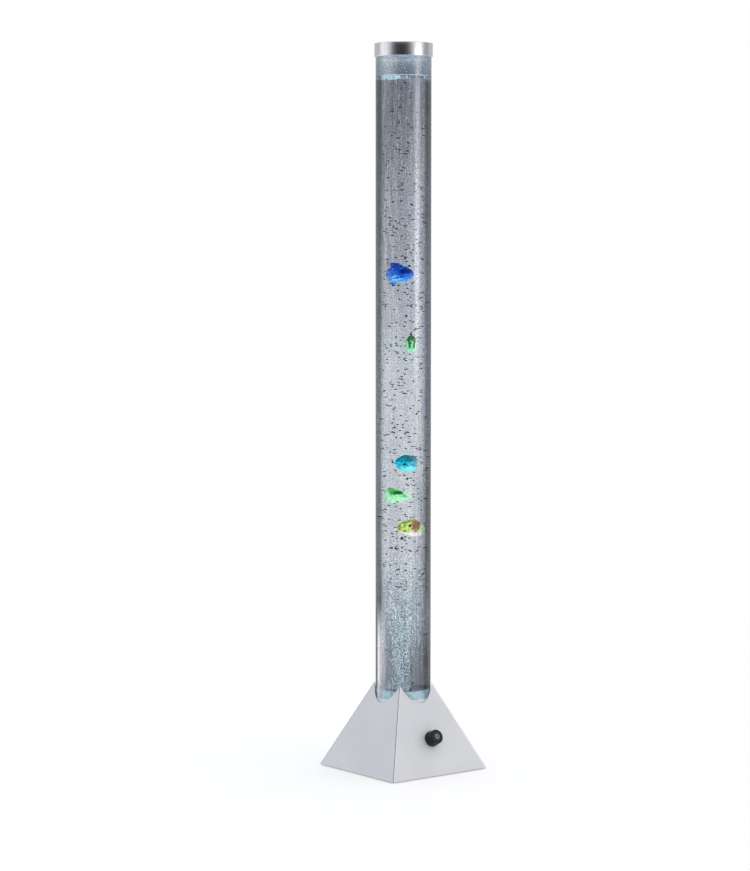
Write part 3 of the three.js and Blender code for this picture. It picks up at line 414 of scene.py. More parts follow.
def make_floor():
    material, g = new_graph("studio_floor")
    speckle = g.noise(40, detail=3.0)
    path = g.add("LightPath").node.outputs
    seen = g.sum("MAXIMUM", path["Is Camera Ray"], path["Is Glossy Ray"])
    seen = g.sum("MAXIMUM", seen, path["Is Transmission Ray"])
    surface = g.principled(
        Base_Color=g.mix(speckle, grey(0.78), grey(0.80)), Roughness=0.9,
        Emission_Color=grey(1.0), Emission_Strength=g.times(seen, 0.22),
    )
    mirrored = g.sum("GREATER_THAN", path["Glossy Depth"], 0.5)
    through = g.add("BsdfTransparent", {"Color": grey(1.0)})
    g.close(g.add("MixShader", {0: mirrored, 1: surface, 2: through}))
    mesh = turned("studio_floor", [(0.0, 0.0), (2.8, 0.0)], MIDDLE)
    floor = finish_piece("studio_floor", mesh, None, material)
    floor.visible_glossy = False


def make_camera():
    data = bpy.data.cameras.new("camera")
    camera = bpy.data.objects.new("camera", data)
    scene.collection.objects.link(camera)
    data.sensor_fit = "AUTO"
    data.sensor_width = 36
    data.lens = CAMERA_LENS
    data.clip_end = 60
    camera.location = CAMERA_PLACE
    camera.rotation_euler = Vector(CAMERA_AIM).to_track_quat("-Z", "Y").to_euler()
    scene.camera = camera


make_camera()
make_world()
make_floor()


# Materials

def housing_paint():
    """Satin silver sheet: an even grain, and at each ridge a dark joint beside a bright edge."""
    material, g = new_graph("housing_satin")
    grain = g.noise(1300, detail=5.0, roughness=0.65)
    cloud = g.noise(9, detail=3.0)
    base = g.mix(g.shift(cloud, 0.3, 0.7), tone("d3d4d8"), tone("dadbde"))
    base = g.mix(g.shift(grain, 0.44, 0.60, 0.0, 0.22), base, tone("bfc2ca"))
    place = g.place()
    past = g.sum("SUBTRACT", g.sum("ABSOLUTE", place["X"]), g.sum("ABSOLUTE", place["Y"]))
    bright = g.band(past, -2.4 * MM, -1.2 * MM, -0.9 * MM, -0.2 * MM)
    joint = g.band(past, 0.0, 0.5 * MM, 1.3 * MM, 2.0 * MM)
    base = g.mix(g.times(bright, 0.8), base, tone("eeeeee"))
    base = g.mix(g.times(joint, 0.85), base, tone("6d6a78"))
    g.close(g.principled(
        Base_Color=base, Roughness=g.shift(grain, 0.3, 0.7, 0.52, 0.64), Metallic=0.12,
        Specular_IOR_Level=0.3, Normal=g.bump(grain, 0.12, 0.08 * MM),
    ))
    return material


def cap_chrome():
    """Bright metal turned on a lathe and brushed upright: long fine marks catch the light."""
    material, g = new_graph("cap_chrome")
    marks = g.noise(1100, g.coords((1, 1, 0.05)), detail=3.0)
    cloud = g.noise(30, detail=2.0)
    base = g.mix(g.shift(cloud, 0.3, 0.7), tone("dcdde3"), tone("e8e8ee"))
    base = g.mix(g.shift(marks, 0.45, 0.65, 0.0, 0.35), base, tone("b4b5bf"))
    g.close(g.principled(
        Base_Color=base, Roughness=g.shift(marks, 0.3, 0.7, 0.06, 0.14), Metallic=1.0,
        Normal=g.bump(marks, 0.14, 0.05 * MM),
    ))
    return material


RAMP_TOP = 1200  # millimetres, the height at the end of the water's ramp of tones
WATER_TONES = [
    # height in millimetres, and the water's tone there: lightest at mid height, darker towards the top, and
    # darkest over the plug, where the navy tones are painted shade
    (131, "56667a"), (150, "818d99"), (180, "929ba7"), (230, "9fa9b4"), (290, "bac4cd"), (340, "dfe8f0"),
    (480, "e4edf5"), (590, "dfe8f1"), (730, "c5ccd7"), (880, "b2b9c5"), (980, "949aa6"), (1075, "787f8c"),
    (1121, "737b89"),
]


def sideways(g):
    """How far a point lies to one side of the tube's axis, from -1 to 1 at the wall, and its height."""
    place = g.place()
    right = VIEWER_BEARING + math.pi / 2
    across = g.sum("MULTIPLY_ADD", place["X"], math.cos(right) / TUBE_RADIUS,
                   g.times(place["Y"], math.sin(right) / TUBE_RADIUS))
    return across, place["Z"]


def water_tint(g):
    """Cool grey water crossed by long upright streaks of rising air and a fine speckle, with painted shade:
    darker edge on, on its right and left sides, and low on the right.
    """
    across, height = sideways(g)
    share = g.times(height, 1 / (RAMP_TOP * MM))

    def level(low, high, *held):
        return g.shift(height, low * MM, high * MM, *held)

    streaks = g.noise(420, g.coords((1, 1, 0.03)), detail=4.0, roughness=0.65)
    broad = g.noise(85, g.coords((1, 1, 0.045)), detail=2.0)
    speckle = g.noise(900, g.coords((1, 1, 0.8)), detail=1.0, roughness=0.7)
    base = g.ramp(share, [(z / RAMP_TOP, tone(code)) for z, code in WATER_TONES])
    facing = g.add("LayerWeight", {"Blend": 0.5}, out="Facing")
    # painted shade: the water darker edge on
    base = g.mix(g.shift(facing, 0.02, 0.16, 0.0, 0.34), base, tone("4a505c"))
    # painted shade on the right below mid height, eased at the far right low down, and on the left, most
    # near the top and some low down
    far = g.times(g.shift(across, 0.50, 0.68), level(310, 240), 0.75)
    painted_right_shade = g.times(g.shift(across, 0.24, 0.44), level(720, 380, 0.0, 0.68), g.sum("SUBTRACT", 1.0, far))
    painted_left_shade = g.sum("MAXIMUM", level(600, 900, 0.0, 0.74), level(500, 400, 0.0, 0.36))
    painted_left_shade = g.times(g.shift(across, -0.28, -0.46), painted_left_shade)
    base = g.mix(g.sum("MAXIMUM", painted_right_shade, painted_left_shade), base, tone("4a505c"))
    # painted shade, dark, low on the right and less at the far edge
    painted_low_right_shade = g.times(g.shift(across, 0.08, 0.36), level(245, 175, 0.0, 0.86),
                        g.shift(across, 0.48, 0.68, 1.0, 0.25))
    base = g.mix(painted_low_right_shade, base, tone("1e2530"))
    strength = g.sum("MINIMUM", level(190, 290, 0.5, 1.0), level(840, 1040, 1.0, 0.62))
    base = g.mix(g.times(g.shift(streaks, 0.36, 0.66, 0.0, 0.42), strength), base, grey(1.0))
    base = g.mix(g.shift(broad, 0.42, 0.68, 0.0, 0.30), base, tone("6b707e"))
    grain = g.sum("MULTIPLY_ADD", g.shift(speckle, 0.36, 0.62, 1.0, -1.0),
                  g.shift(share, 0.6, 0.9, 0.40, 0.60), 1.0)
    return g.scaled(base, grain)


def tube_tint(g):
    """Clear acrylic: misted with spray over the water, with two bands of painted highlight there, painted
    shade edge on, and painted light on its lower right edge.
    """
    mist = g.noise(560, g.coords((1, 1, 0.8)), detail=2.0, roughness=0.7)
    facing = g.add("LayerWeight", {"Blend": 0.5}, out="Facing")
    across, height = sideways(g)
    over = g.shift(height, WATER_TOP - 1 * MM, WATER_TOP + 3 * MM)
    # painted highlight: two lighter bands over the water, one on the left and one on the right
    painted_highlight_bands = g.sum("MAXIMUM", g.band(across, -0.84, -0.70, -0.45, -0.12),
                    g.band(across, 0.34, 0.50, 0.56, 0.72))
    wet = g.mix(g.shift(height, WATER_TOP, WATER_TOP + SPRAY * MM), tone("a8b0ba"), tone("bfc8d2"))
    wet = g.mix(g.shift(height, WATER_TOP + 22 * MM, WATER_TOP + 30 * MM), wet, tone("d8dfe6"))
    wet = g.mix(g.times(painted_highlight_bands, 0.26), wet, grey(1.0))
    wet = g.scaled(wet, g.shift(mist, 0.36, 0.62, 1.28, 0.72))
    # painted light on the edge low on the right, from the glow below, and painted shade edge on everywhere
    # else
    lit_edge = g.times(g.shift(height, 330 * MM, 250 * MM), g.shift(across, 0.2, 0.5))
    low_edge = g.mix(lit_edge, tone("5d636f"), tone("8d959f"))
    high_edge = g.mix(g.shift(facing, 0.5, 0.66), tone("c0c9d0"), tone("8c959d"))
    edge = g.mix(over, low_edge, high_edge)
    return g.mix(g.shift(facing, 0.25, 0.45), g.mix(over, tone("f8f9fb"), wet), edge)


def glowing(name, code, glow_code, strength, roughness=0.2, transmission=0.0, relief=0.1):
    """Pale plastic or air lit from below, with a soft changing glow: the glow is painted light, except on
    the diodes' lenses, which are lamps.
    """
    material, g = new_graph(name)
    change = g.noise(260, detail=3.0)
    base = g.mix(g.shift(change, 0.3, 0.7), tone(code), tone(glow_code))
    g.close(g.principled(
        Base_Color=base, Roughness=roughness, Transmission_Weight=transmission, IOR=1.45,
        Emission_Color=tone(glow_code), Emission_Strength=strength,
        Normal=g.bump(change, relief, 0.2 * MM),
    ))
    return material


def plug_face():
    """The plug's top: painted light along its front edge, painted shade behind, and a slight glow that is
    painted light as well.
    """
    material, g = new_graph("plug_top_face")
    place = g.place()
    ahead = g.sum("MULTIPLY_ADD", place["X"], math.cos(VIEWER_BEARING) / TUBE_RADIUS,
                  g.times(place["Y"], math.sin(VIEWER_BEARING) / TUBE_RADIUS))
    # painted light towards the front, painted shade towards the back
    lit = g.shift(g.sum("MULTIPLY_ADD", g.noise(260, detail=3.0), 0.4, ahead), 0.0, 0.88)
    base = g.mix(lit, tone("2e5064"), tone("98b8c2"))
    g.close(g.principled(Base_Color=base, Roughness=0.3, Emission_Color=base, Emission_Strength=0.15))
    return material


def bubble_dark():
    """Air seen in water: dark, a little uneven; the dark is painted shade for the light that bubbles turn
    away.
    """
    material, g = new_graph("bubble_air")
    change = g.noise(200)
    base = g.mix(g.shift(change, 0.3, 0.7), tone("1b1d23"), tone("34373f"))
    g.close(g.principled(Base_Color=base, Roughness=0.3, Specular_IOR_Level=0.3))
    return material


def air_specks():
    """Fine air lit from below, as painted light: pale glowing grains, and darker ones as painted shade,
    mixed at random.
    """
    material, g = new_graph("air_specks")
    lit = g.shift(g.noise(520, detail=1.0), 0.43, 0.57)
    base = g.mix(lit, tone("435c68"), tone("f2fbfa"))
    g.close(g.principled(
        Base_Color=base, Roughness=g.shift(lit, 0.0, 1.0, 0.3, 0.2),
        Emission_Color=base, Emission_Strength=0.65,
    ))
    return material


def knob_disc():
    """The disc in the knob's front: a grey ring, a painted highlight of a turned dimple, round a darker
    middle, black towards its edge.
    """
    material, g = new_graph("knob_disc")
    fine = g.noise(2400, detail=3.0)
    centre = knob_frame() @ Vector((0, 0, KNOB_FRONT * MM))
    away = g.add("VectorMath", {0: g.add("TexCoord", out="Object"), 1: centre}, out="Value",
                 operation="DISTANCE")
    # painted highlight: the grey ring of a turned dimple
    base = g.mix(g.shift(away, 0.8 * MM, 2.8 * MM), tone("484b54"), tone("72767f"))
    base = g.mix(g.shift(away, 3.2 * MM, 5.8 * MM), base, tone("1a1c22"))
    base = g.mix(g.shift(fine, 0.35, 0.65, 0.0, 0.3), base, tone("41444c"))
    relief = g.bump(fine, 0.1, 0.05 * MM)
    g.close(g.principled(Base_Color=base, Roughness=0.32, Metallic=0.2, Normal=relief))
    return material


look = {
    "housing": housing_paint(),
    "chrome": cap_chrome(),
    "tube": clear("tube_acrylic", tube_tint, 1.49),
    "water": clear("water", water_tint, 1.333),
    # The glow on the tube's sawn ends, the plug, the stone, the foam, the strings of air and the droplets
    # is painted light from the diodes below; the diodes' lenses are lamps.
    "tube_end": glowing("tube_sawn_end", "c2dbe2", "d0eef4", 0.38, roughness=0.45),
    "plug": glowing("plug_acrylic", "7b99a6", "b3cdd5", 0.20, transmission=0.2),
    "plug_top": plug_face(),
    "stone": glowing("air_stone_porous", "7d98a5", "a9c6cf", 0.08, roughness=0.9, relief=0.8),
    "foam": glowing("foam_bubbles", "dceef1", "d9f4f8", 0.75),
    "thread": glowing("air_threads", "b4b8c6", "dfe3f0", 0.16),
    "droplet": glowing("wall_droplets", "d4e2e8", "e2f2f6", 0.06),
    "bubble": bubble_dark(),
    "speck": air_specks(),
    # the cap's inside, painted light: it glows strongly, so that its underside shows grey through the tube
    "cap_inside_painted_glow": glowing("cap_inside_painted_glow", "2a2e33", "81888f", 2.5, roughness=0.5),
    "lens": glowing("diode_lens", "e9f6f6", "d8fbff", 0.8, transmission=0.5),
    "rubber": moulded("rubber_matt", "26282b", 0.85, grain=1400, relief=0.04),
    "knob": moulded("knob_satin", "1a1c24", 0.38, grain=2200, relief=0.015, change=0.25, shine=0.25),
    "knob_cap": knob_disc(),
    "plate": moulded("plate_moulded", "3a3d42", 0.62, grain=1300, relief=0.05),
    "holder": moulded("holder_moulded", "d9dde0", 0.5, grain=1500),
    "steel": moulded("steel_plated", "b5b8bd", 0.3, 0.9, grain=1800, stretch=(1, 1, 0.2)),
    "brass": moulded("brass_turned", "c2a04a", 0.3, 0.9, grain=1600, stretch=(1, 1, 4)),
    "circuit": moulded("circuit_mask", "1f6b3c", 0.4, grain=500, relief=0.03, change=0.15, coat=0.4),
    "copper": moulded("copper_wire", "b4633a", 0.35, 0.8, grain=1500, stretch=(1, 12, 12), relief=0.2),
    "iron": moulded("iron_laminated", "4a4c50", 0.55, 0.6, grain=900, stretch=(0.1, 0.1, 3), relief=0.1),
    "pump": moulded("pump_moulded", "e3e4e2", 0.5, grain=1500),
    "silicone": moulded("silicone_hose", "d8dedf", 0.3, grain=1500, coat=0.3),
    "black": moulded("black_moulded", "212326", 0.45, grain=1800),
    "lead": moulded("lead_sheath", "222428", 0.55, grain=1400),
    "foam_mat": moulded("foam_mat", "5b5e63", 0.95, grain=700, relief=0.25, change=0.2),
    "eye_white": moulded("eye_white", "eef2ea", 0.25, coat=0.5),
    "eye_black": moulded("eye_black", "0b0d10", 0.15, coat=0.8),
}

# The CAD nodes that are shown as they are, under the look that each has
NODE_LOOKS = {
    "rubber": ["cap_seal", "pump_diaphragm"],
    "holder": ["pump_arm"],
    "steel": ["plug_screw_1", "plug_screw_2", "plug_screw_3", "switch_shaft"],
    "brass": ["air_nozzle"],
    "circuit": ["light_board", "control_board"],
    "lens": ["light_diode_1", "light_diode_2", "light_diode_3"],
    "copper": ["pump_coil"],
    "iron": ["pump_core", "pump_magnet"],
    "pump": ["check_valve", "pump_case", "pump_cover", "pump_head", "terminal_block"],
    "silicone": ["hose_upper", "hose_lower", "tube_seal"],
    "black": ["control_chip", "switch_body"],
    "lead": ["inlet_lead", "switch_lead", "pump_lead", "light_lead"],
    "foam_mat": ["pump_mat"],
}

for key, names in NODE_LOOKS.items():
    for node_name in names:
        shown = frame["nodes"][node_name].data
        shown.materials.clear()
        shown.materials.append(look[key])


# Base, knob, inlet and fixings

for part in (
    ("base_housing", "housing_shell", "housing", "housing", 0.3),
    ("bottom_plate", "plate_floor", "plate", "plate", 0.3),
    ("tube_holder", "holder_frame", "holder", "holder", 0.3),
    ("switch_nut", "switch_hex_nut", "steel", "steel", 0.25),
    ("power_inlet", "inlet_barrel", "black", "black_plastic", 0.3),
    ("inlet_nut", "inlet_ring_nut", "steel", "steel", 0.25),
):
    softened(*part)
for corner in ("rear_right", "rear_left", "front_left", "front_right"):
    softened(f"foot_{corner}", f"foot_pad_{corner}", "rubber", "rubber", 0.8, segments=3)
    softened(f"leg_screw_{corner}", f"leg_bolt_{corner}", "steel", "steel", 0.2)
for side in ("right", "rear", "left", "front"):
    softened(f"plate_screw_{side}", f"plate_bolt_{side}", "steel", "steel", 0.2)


def make_knob():
    """A smooth round knob: a wide soft skirt, a narrower grip and a shallow pocket for its disc."""
    profile = [(r * MM, z * MM) for r, z in [
        (0, 13.3), (2.9, 13.3), (2.9, 5.2), (8.4, 5.2), (8.4, 0.8), (12.7, 0.8), (12.7, 6.2), (12.2, 8.0),
        (11.9, 9.0), (11.6, KNOB_FRONT), (6.9, KNOB_FRONT), (6.9, 16.4), (0, 16.4),
    ]]
    mesh = facing_out(turned("knob_grip", rounded(profile, 1.3 * MM, 5), MIDDLE))
    mesh.transform(knob_frame())
    finish_piece("knob_grip", mesh, "knob", look["knob"], "knob", ["knob"], 32)
    softened("knob_cap", "knob_disc", "knob_cap", "knob_cap", 0.25, "knob")


make_knob()


# Tube, plug, cap and water

def make_tube():
    chamfer = 0.5 * MM
    low, high = TUBE_LOW.z, TUBE_HIGH.z
    outer, inner = TUBE_RADIUS, TUBE_INNER
    profile = [
        (inner + chamfer, low), (outer - chamfer, low), (outer, low + chamfer),
        (outer, high - chamfer), (outer - chamfer, high), (inner + chamfer, high),
        (inner, high - chamfer), (inner, low + chamfer),
    ]
    mesh = facing_out(turned("tube_wall", profile, FINE, closed=True))
    finish_piece("tube_wall", mesh, "lamp", [look["tube"], look["tube_end"]], "tube", ["tube"], 30)
    for face in mesh.polygons:
        middle = face.center.z
        if middle < low + chamfer or middle > high - chamfer:
            face.material_index = 1


def make_plug():
    """The plug, bonded to the wall all round, with a soft lower edge and a bore for the nozzle."""
    low = TUBE_LOW.z
    bore = 3.3 * MM
    profile = [
        (bore, low), (PLUG_RADIUS - 0.6 * MM, low), (WATER_RADIUS, low + 0.6 * MM),
        (WATER_RADIUS, PLUG_TOP), (bore, PLUG_TOP),
    ]
    mesh = facing_out(turned("plug_disc", profile, FINE, closed=True))
    materials = [look["plug"], look["plug_top"]]
    finish_piece("plug_disc", mesh, "lamp", materials, "plug", ["tube_plug"], 30)
    for face in mesh.polygons:
        if face.center.z > PLUG_TOP - 0.1 * MM:
            face.material_index = 1


def make_cap():
    low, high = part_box("cap")
    outer, inner = high.x, TUBE_RADIUS + 0.4 * MM
    ceiling = high.z - 2 * MM
    vent = 1.6 * MM
    profile = [
        (vent, ceiling), (inner, ceiling), (inner, low.z), (outer, low.z), (outer, high.z), (vent, high.z),
    ]
    soft = rounded([*profile, profile[0]], 0.9 * MM, 4)[:-1]
    mesh = facing_out(turned("cap_shell", soft, FINE, closed=True))
    finish_piece("cap_shell", mesh, "cap", [look["chrome"], look["cap_inside_painted_glow"]], "cap", ["cap"], 32)
    for face in mesh.polygons:
        if face.center.z < ceiling + 0.1 * MM and face.center.xy.length < inner + 0.1 * MM:
            face.material_index = 1


def make_water():
    """The column of water, drawn up a little where it meets the wall."""
    low = PLUG_TOP - 0.05 * MM
    profile = [
        (0.0, low), (WATER_RADIUS, low), (WATER_RADIUS, WATER_TOP + 0.8 * MM),
        (WATER_RADIUS - 0.6 * MM, WATER_TOP + 0.35 * MM), (WATER_RADIUS - 1.6 * MM, WATER_TOP + 0.1 * MM),
        (WATER_RADIUS - 3.5 * MM, WATER_TOP), (0.0, WATER_TOP),
    ]
    mesh = facing_out(turned("water_column", profile, FINE))
    finish_piece("water_column", mesh, "lamp", look["water"], smooth=40)


def make_stone():
    low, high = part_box("air_stone")
    radius = high.x
    edge = 2 * MM
    profile = [
        (0.0, low.z), (radius, low.z), (radius, high.z - edge), (radius - edge, high.z), (0.0, high.z),
    ]
    mesh = facing_out(turned("stone_block", rounded(profile, 1.0 * MM, 3), MIDDLE))
    finish_piece("stone_block", mesh, "lamp", look["stone"], "stone", ["air_stone"], 40)


make_tube()
make_plug()
make_cap()
make_water()
make_stone()


# Fish

# Each fish: its form, its size and place in millimetres and degrees, and its paint. Along runs from the
# tail, 0, to the nose, 1, and up from the lowest fin, 0, to the highest, 1. Tones are belly, side and back,
# and edges where they meet. A patch is (along, up, half its length, half its height, colour, strength). A
# stroke is (lean in degrees, how many, colour, strength, from up, to up). Bars, one a side, are (how far
# out, half their width, from up, to up, colour).
FISH = {
    "fish_blue": {
        "form": "sail", "size": (37, 40, 12), "level": 805, "sideways": -4.5, "forward": 8, "heading": -46,
        "tones": ("58bcff", "1f7cf4", "0a46b4"), "edges": (0.32, 0.60), "fin": "0d50c0",
        "patches": [(0.72, 0.62, 0.28, 0.12, "001f78", 1.0), (0.32, 0.86, 0.14, 0.12, "003496", 0.8),
                    (0.24, 0.08, 0.10, 0.10, "0a4cc0", 0.9), (0.10, 0.45, 0.10, 0.18, "3c9cff", 0.7),
                    (0.58, 0.46, 0.16, 0.07, "0a4cc4", 0.9)],
        "strokes": [(-14, 7.0, "b4ecff", 0.8, 0.10, 0.52), (-10, 5.0, "0a3cb4", 0.7, 0.30, 0.64),
                    (-40, 6.0, "3f88f4", 0.5, 0.60, 0.98)],
    },
    "fish_green": {
        "form": "deep", "size": (34, 41, 15), "level": 693, "sideways": 10, "forward": 4, "heading": -122,
        "tones": ("b6ffcc", "8ff0ac", "0a6226"), "edges": (0.30, 0.63), "fin": "0a6a2e",
        "patches": [],
        "strokes": [(70, 5.0, "4fc074", 0.3, 0.20, 0.60)],
        "bars": (0.28, 0.12, 0.27, 0.74, "0a4c1a"),
    },
    "fish_teal": {
        "form": "round", "size": (32, 28, 12), "level": 500, "sideways": 3, "forward": 9, "heading": 164,
        "tones": ("58f2ff", "1cc4e2", "02707c"), "edges": (0.30, 0.62), "fin": "12aec4",
        "patches": [(0.34, 0.74, 0.26, 0.16, "00747e", 0.9), (0.70, 0.70, 0.14, 0.12, "0a93a4", 0.8),
                    (0.14, 0.42, 0.10, 0.16, "1593b4", 0.7), (0.36, 0.22, 0.22, 0.10, "8ffaff", 0.8),
                    (0.62, 0.45, 0.09, 0.085, "00424e", 1.0), (0.84, 0.36, 0.07, 0.14, "1a98ac", 0.6)],
        "strokes": [(26, 5.5, "9dfbff", 0.8, 0.06, 0.50), (-24, 4.5, "04788e", 0.65, 0.12, 0.66)],
    },
    "fish_lime": {
        "form": "slim", "size": (34, 28, 11), "level": 447, "sideways": -7.5, "forward": 5, "heading": 148,
        "tones": ("b4ffc2", "a0f7b2", "5cc06a"), "edges": (0.40, 0.72), "fin": "93e4a8",
        "patches": [(0.68, 0.68, 0.19, 0.15, "2a8c2c", 0.95), (0.78, 0.88, 0.14, 0.10, "3f9f50", 0.8),
                    (0.46, 0.68, 0.24, 0.12, "145a1c", 1.0), (0.24, 0.50, 0.12, 0.12, "4fb878", 0.8),
                    (0.95, 0.30, 0.05, 0.16, "6cc887", 0.6)],
        "strokes": [(72, 5.5, "d8ffe2", 0.55, 0.04, 0.46)],
    },
    "fish_sun": {
        "form": "broad", "size": (37, 28, 12), "level": 395, "sideways": 10.5, "forward": 6, "heading": 144,
        "tones": ("fffff8", "c3d874", "7f9c48"), "edges": (0.24, 0.82), "fin": "a8cf80",
        "patches": [(0.34, 0.66, 0.17, 0.26, "8a2c10", 0.95), (0.34, 0.36, 0.08, 0.16, "c0613a", 0.9),
                    (0.22, 0.74, 0.05, 0.12, "5c1f10", 0.8), (0.42, 0.76, 0.05, 0.10, "c8743c", 0.7),
                    (0.55, 0.64, 0.055, 0.10, "120f08", 1.0), (0.73, 0.33, 0.06, 0.05, "1c3312", 0.95),
                    (0.46, 0.46, 0.05, 0.06, "2e140a", 0.95), (0.24, 0.22, 0.10, 0.09, "fff6ee", 0.9),
                    (0.93, 0.56, 0.08, 0.20, "5a7a3c", 0.7), (0.80, 0.80, 0.14, 0.10, "6d8f3a", 0.6),
                    (0.05, 0.36, 0.13, 0.34, "c4f59e", 1.0)],
        "strokes": [(60, 5.5, "3a1206", 0.6, 0.50, 0.96), (66, 5.0, "dcea86", 0.6, 0.34, 0.80)],
    },
}

BODY_PROFILE = [
    (-0.38, 0.0), (-0.35, 0.2), (-0.27, 0.34), (-0.17, 0.62), (-0.04, 0.9), (0.09, 1.0),
    (0.22, 0.93), (0.34, 0.72), (0.43, 0.44), (0.48, 0.2), (0.5, 0.0),
]

FORMS = {
    # how much of the height the body takes, and the outlines of the fins
    "sail": (0.66, [
        [(-0.2, 0.22), (-0.36, 0.26), (-0.45, 0.16), (-0.5, 0), (-0.48, -0.18), (-0.36, -0.26),
         (-0.2, -0.2)],
        [(0.49, 0.07), (0.26, 0.26), (0, 0.42), (-0.34, 0.5), (-0.33, 0.24), (-0.2, 0.1), (0.3, 0)],
        [(0.1, -0.24), (-0.08, -0.36), (-0.27, -0.5), (-0.33, -0.3), (-0.24, -0.1)],
        [(0.28, -0.12), (0.24, -0.3), (0.18, -0.4), (0.08, -0.24)],
    ]),
    "deep": (0.68, [
        [(-0.28, 0.08), (-0.5, 0.24), (-0.46, 0), (-0.5, -0.24), (-0.28, -0.08)],
        [(0.26, 0.16), (0.12, 0.44), (0.02, 0.5), (-0.16, 0.34), (-0.26, 0.08)],
        [(0.14, -0.22), (0.06, -0.5), (-0.08, -0.44), (-0.24, -0.08)],
    ]),
    "round": (0.84, [
        [(-0.1, 0.38), (-0.3, 0.46), (-0.45, 0.34), (-0.5, 0.12), (-0.5, -0.16), (-0.44, -0.4),
         (-0.28, -0.46), (-0.1, -0.36)],
        [(0.34, 0.2), (0.22, 0.4), (0.04, 0.5), (-0.2, 0.47), (-0.3, 0.2)],
        [(0.3, -0.24), (0.14, -0.46), (-0.06, -0.5), (-0.24, -0.44), (-0.28, -0.16)],
    ]),
    "slim": (0.8, [
        [(-0.2, 0.16), (-0.36, 0.1), (-0.47, 0), (-0.5, -0.12), (-0.42, -0.2), (-0.2, -0.24)],
        [(0.44, 0.2), (0.4, 0.4), (0.3, 0.5), (0.14, 0.42), (-0.06, 0.3), (-0.3, 0.12), (-0.2, 0)],
        [(0.3, -0.2), (0.22, -0.5), (0.06, -0.46), (-0.16, -0.38), (-0.34, -0.24), (-0.2, -0.1)],
        [(0.46, -0.1), (0.46, -0.36), (0.38, -0.42), (0.3, -0.16)],
    ]),
    "broad": (0.86, [
        [(-0.26, 0.1), (-0.38, 0.16), (-0.48, 0.08), (-0.5, -0.14), (-0.42, -0.4), (-0.3, -0.3),
         (-0.26, -0.12)],
        [(0.34, 0.2), (0.2, 0.4), (0, 0.5), (-0.2, 0.47), (-0.32, 0.3), (-0.3, 0.04)],
        [(0.26, -0.26), (0.06, -0.46), (-0.2, -0.5), (-0.34, -0.44), (-0.28, -0.1)],
    ]),
}
SIDE_FIN = [(0.2, -0.1), (0.06, -0.26), (-0.02, -0.2), (0.08, -0.04)]
SIDE_FIN_SPLAY = math.radians(32)
FIN_THICKNESS = 1.7 * MM
EYE_PLACE = (0.345, 0.075)  # along the fish and up, as shares of its length and height
EYE_RADIUS = 0.062  # of its length


def smooth_line(points, steps):
    """More points on a smooth line through the given ones."""
    line = [2 * Vector(points[0]) - Vector(points[1]), *map(Vector, points),
            2 * Vector(points[-1]) - Vector(points[-2])]
    made = []
    for a, b, c, d in zip(line, line[1:], line[2:], line[3:]):
        for i in range(steps):
            t = i / steps
            made.append(0.5 * (2 * b + (c - a) * t + (2 * a - 5 * b + 4 * c - d) * t ** 2
                               + (3 * b - a - 3 * c + d) * t ** 3))
    return [*made, Vector(points[-1])]


BODY_LINE = smooth_line(BODY_PROFILE, 4)


def cut_corners(points, rounds):
    """A closed outline with its corners cut off again and again."""
    for _ in range(rounds):
        points = [p for a, b in zip(points, [*points[1:], points[0]])
                  for p in (Vector(a) * 0.8 + Vector(b) * 0.2, Vector(a) * 0.2 + Vector(b) * 0.8)]
    return points


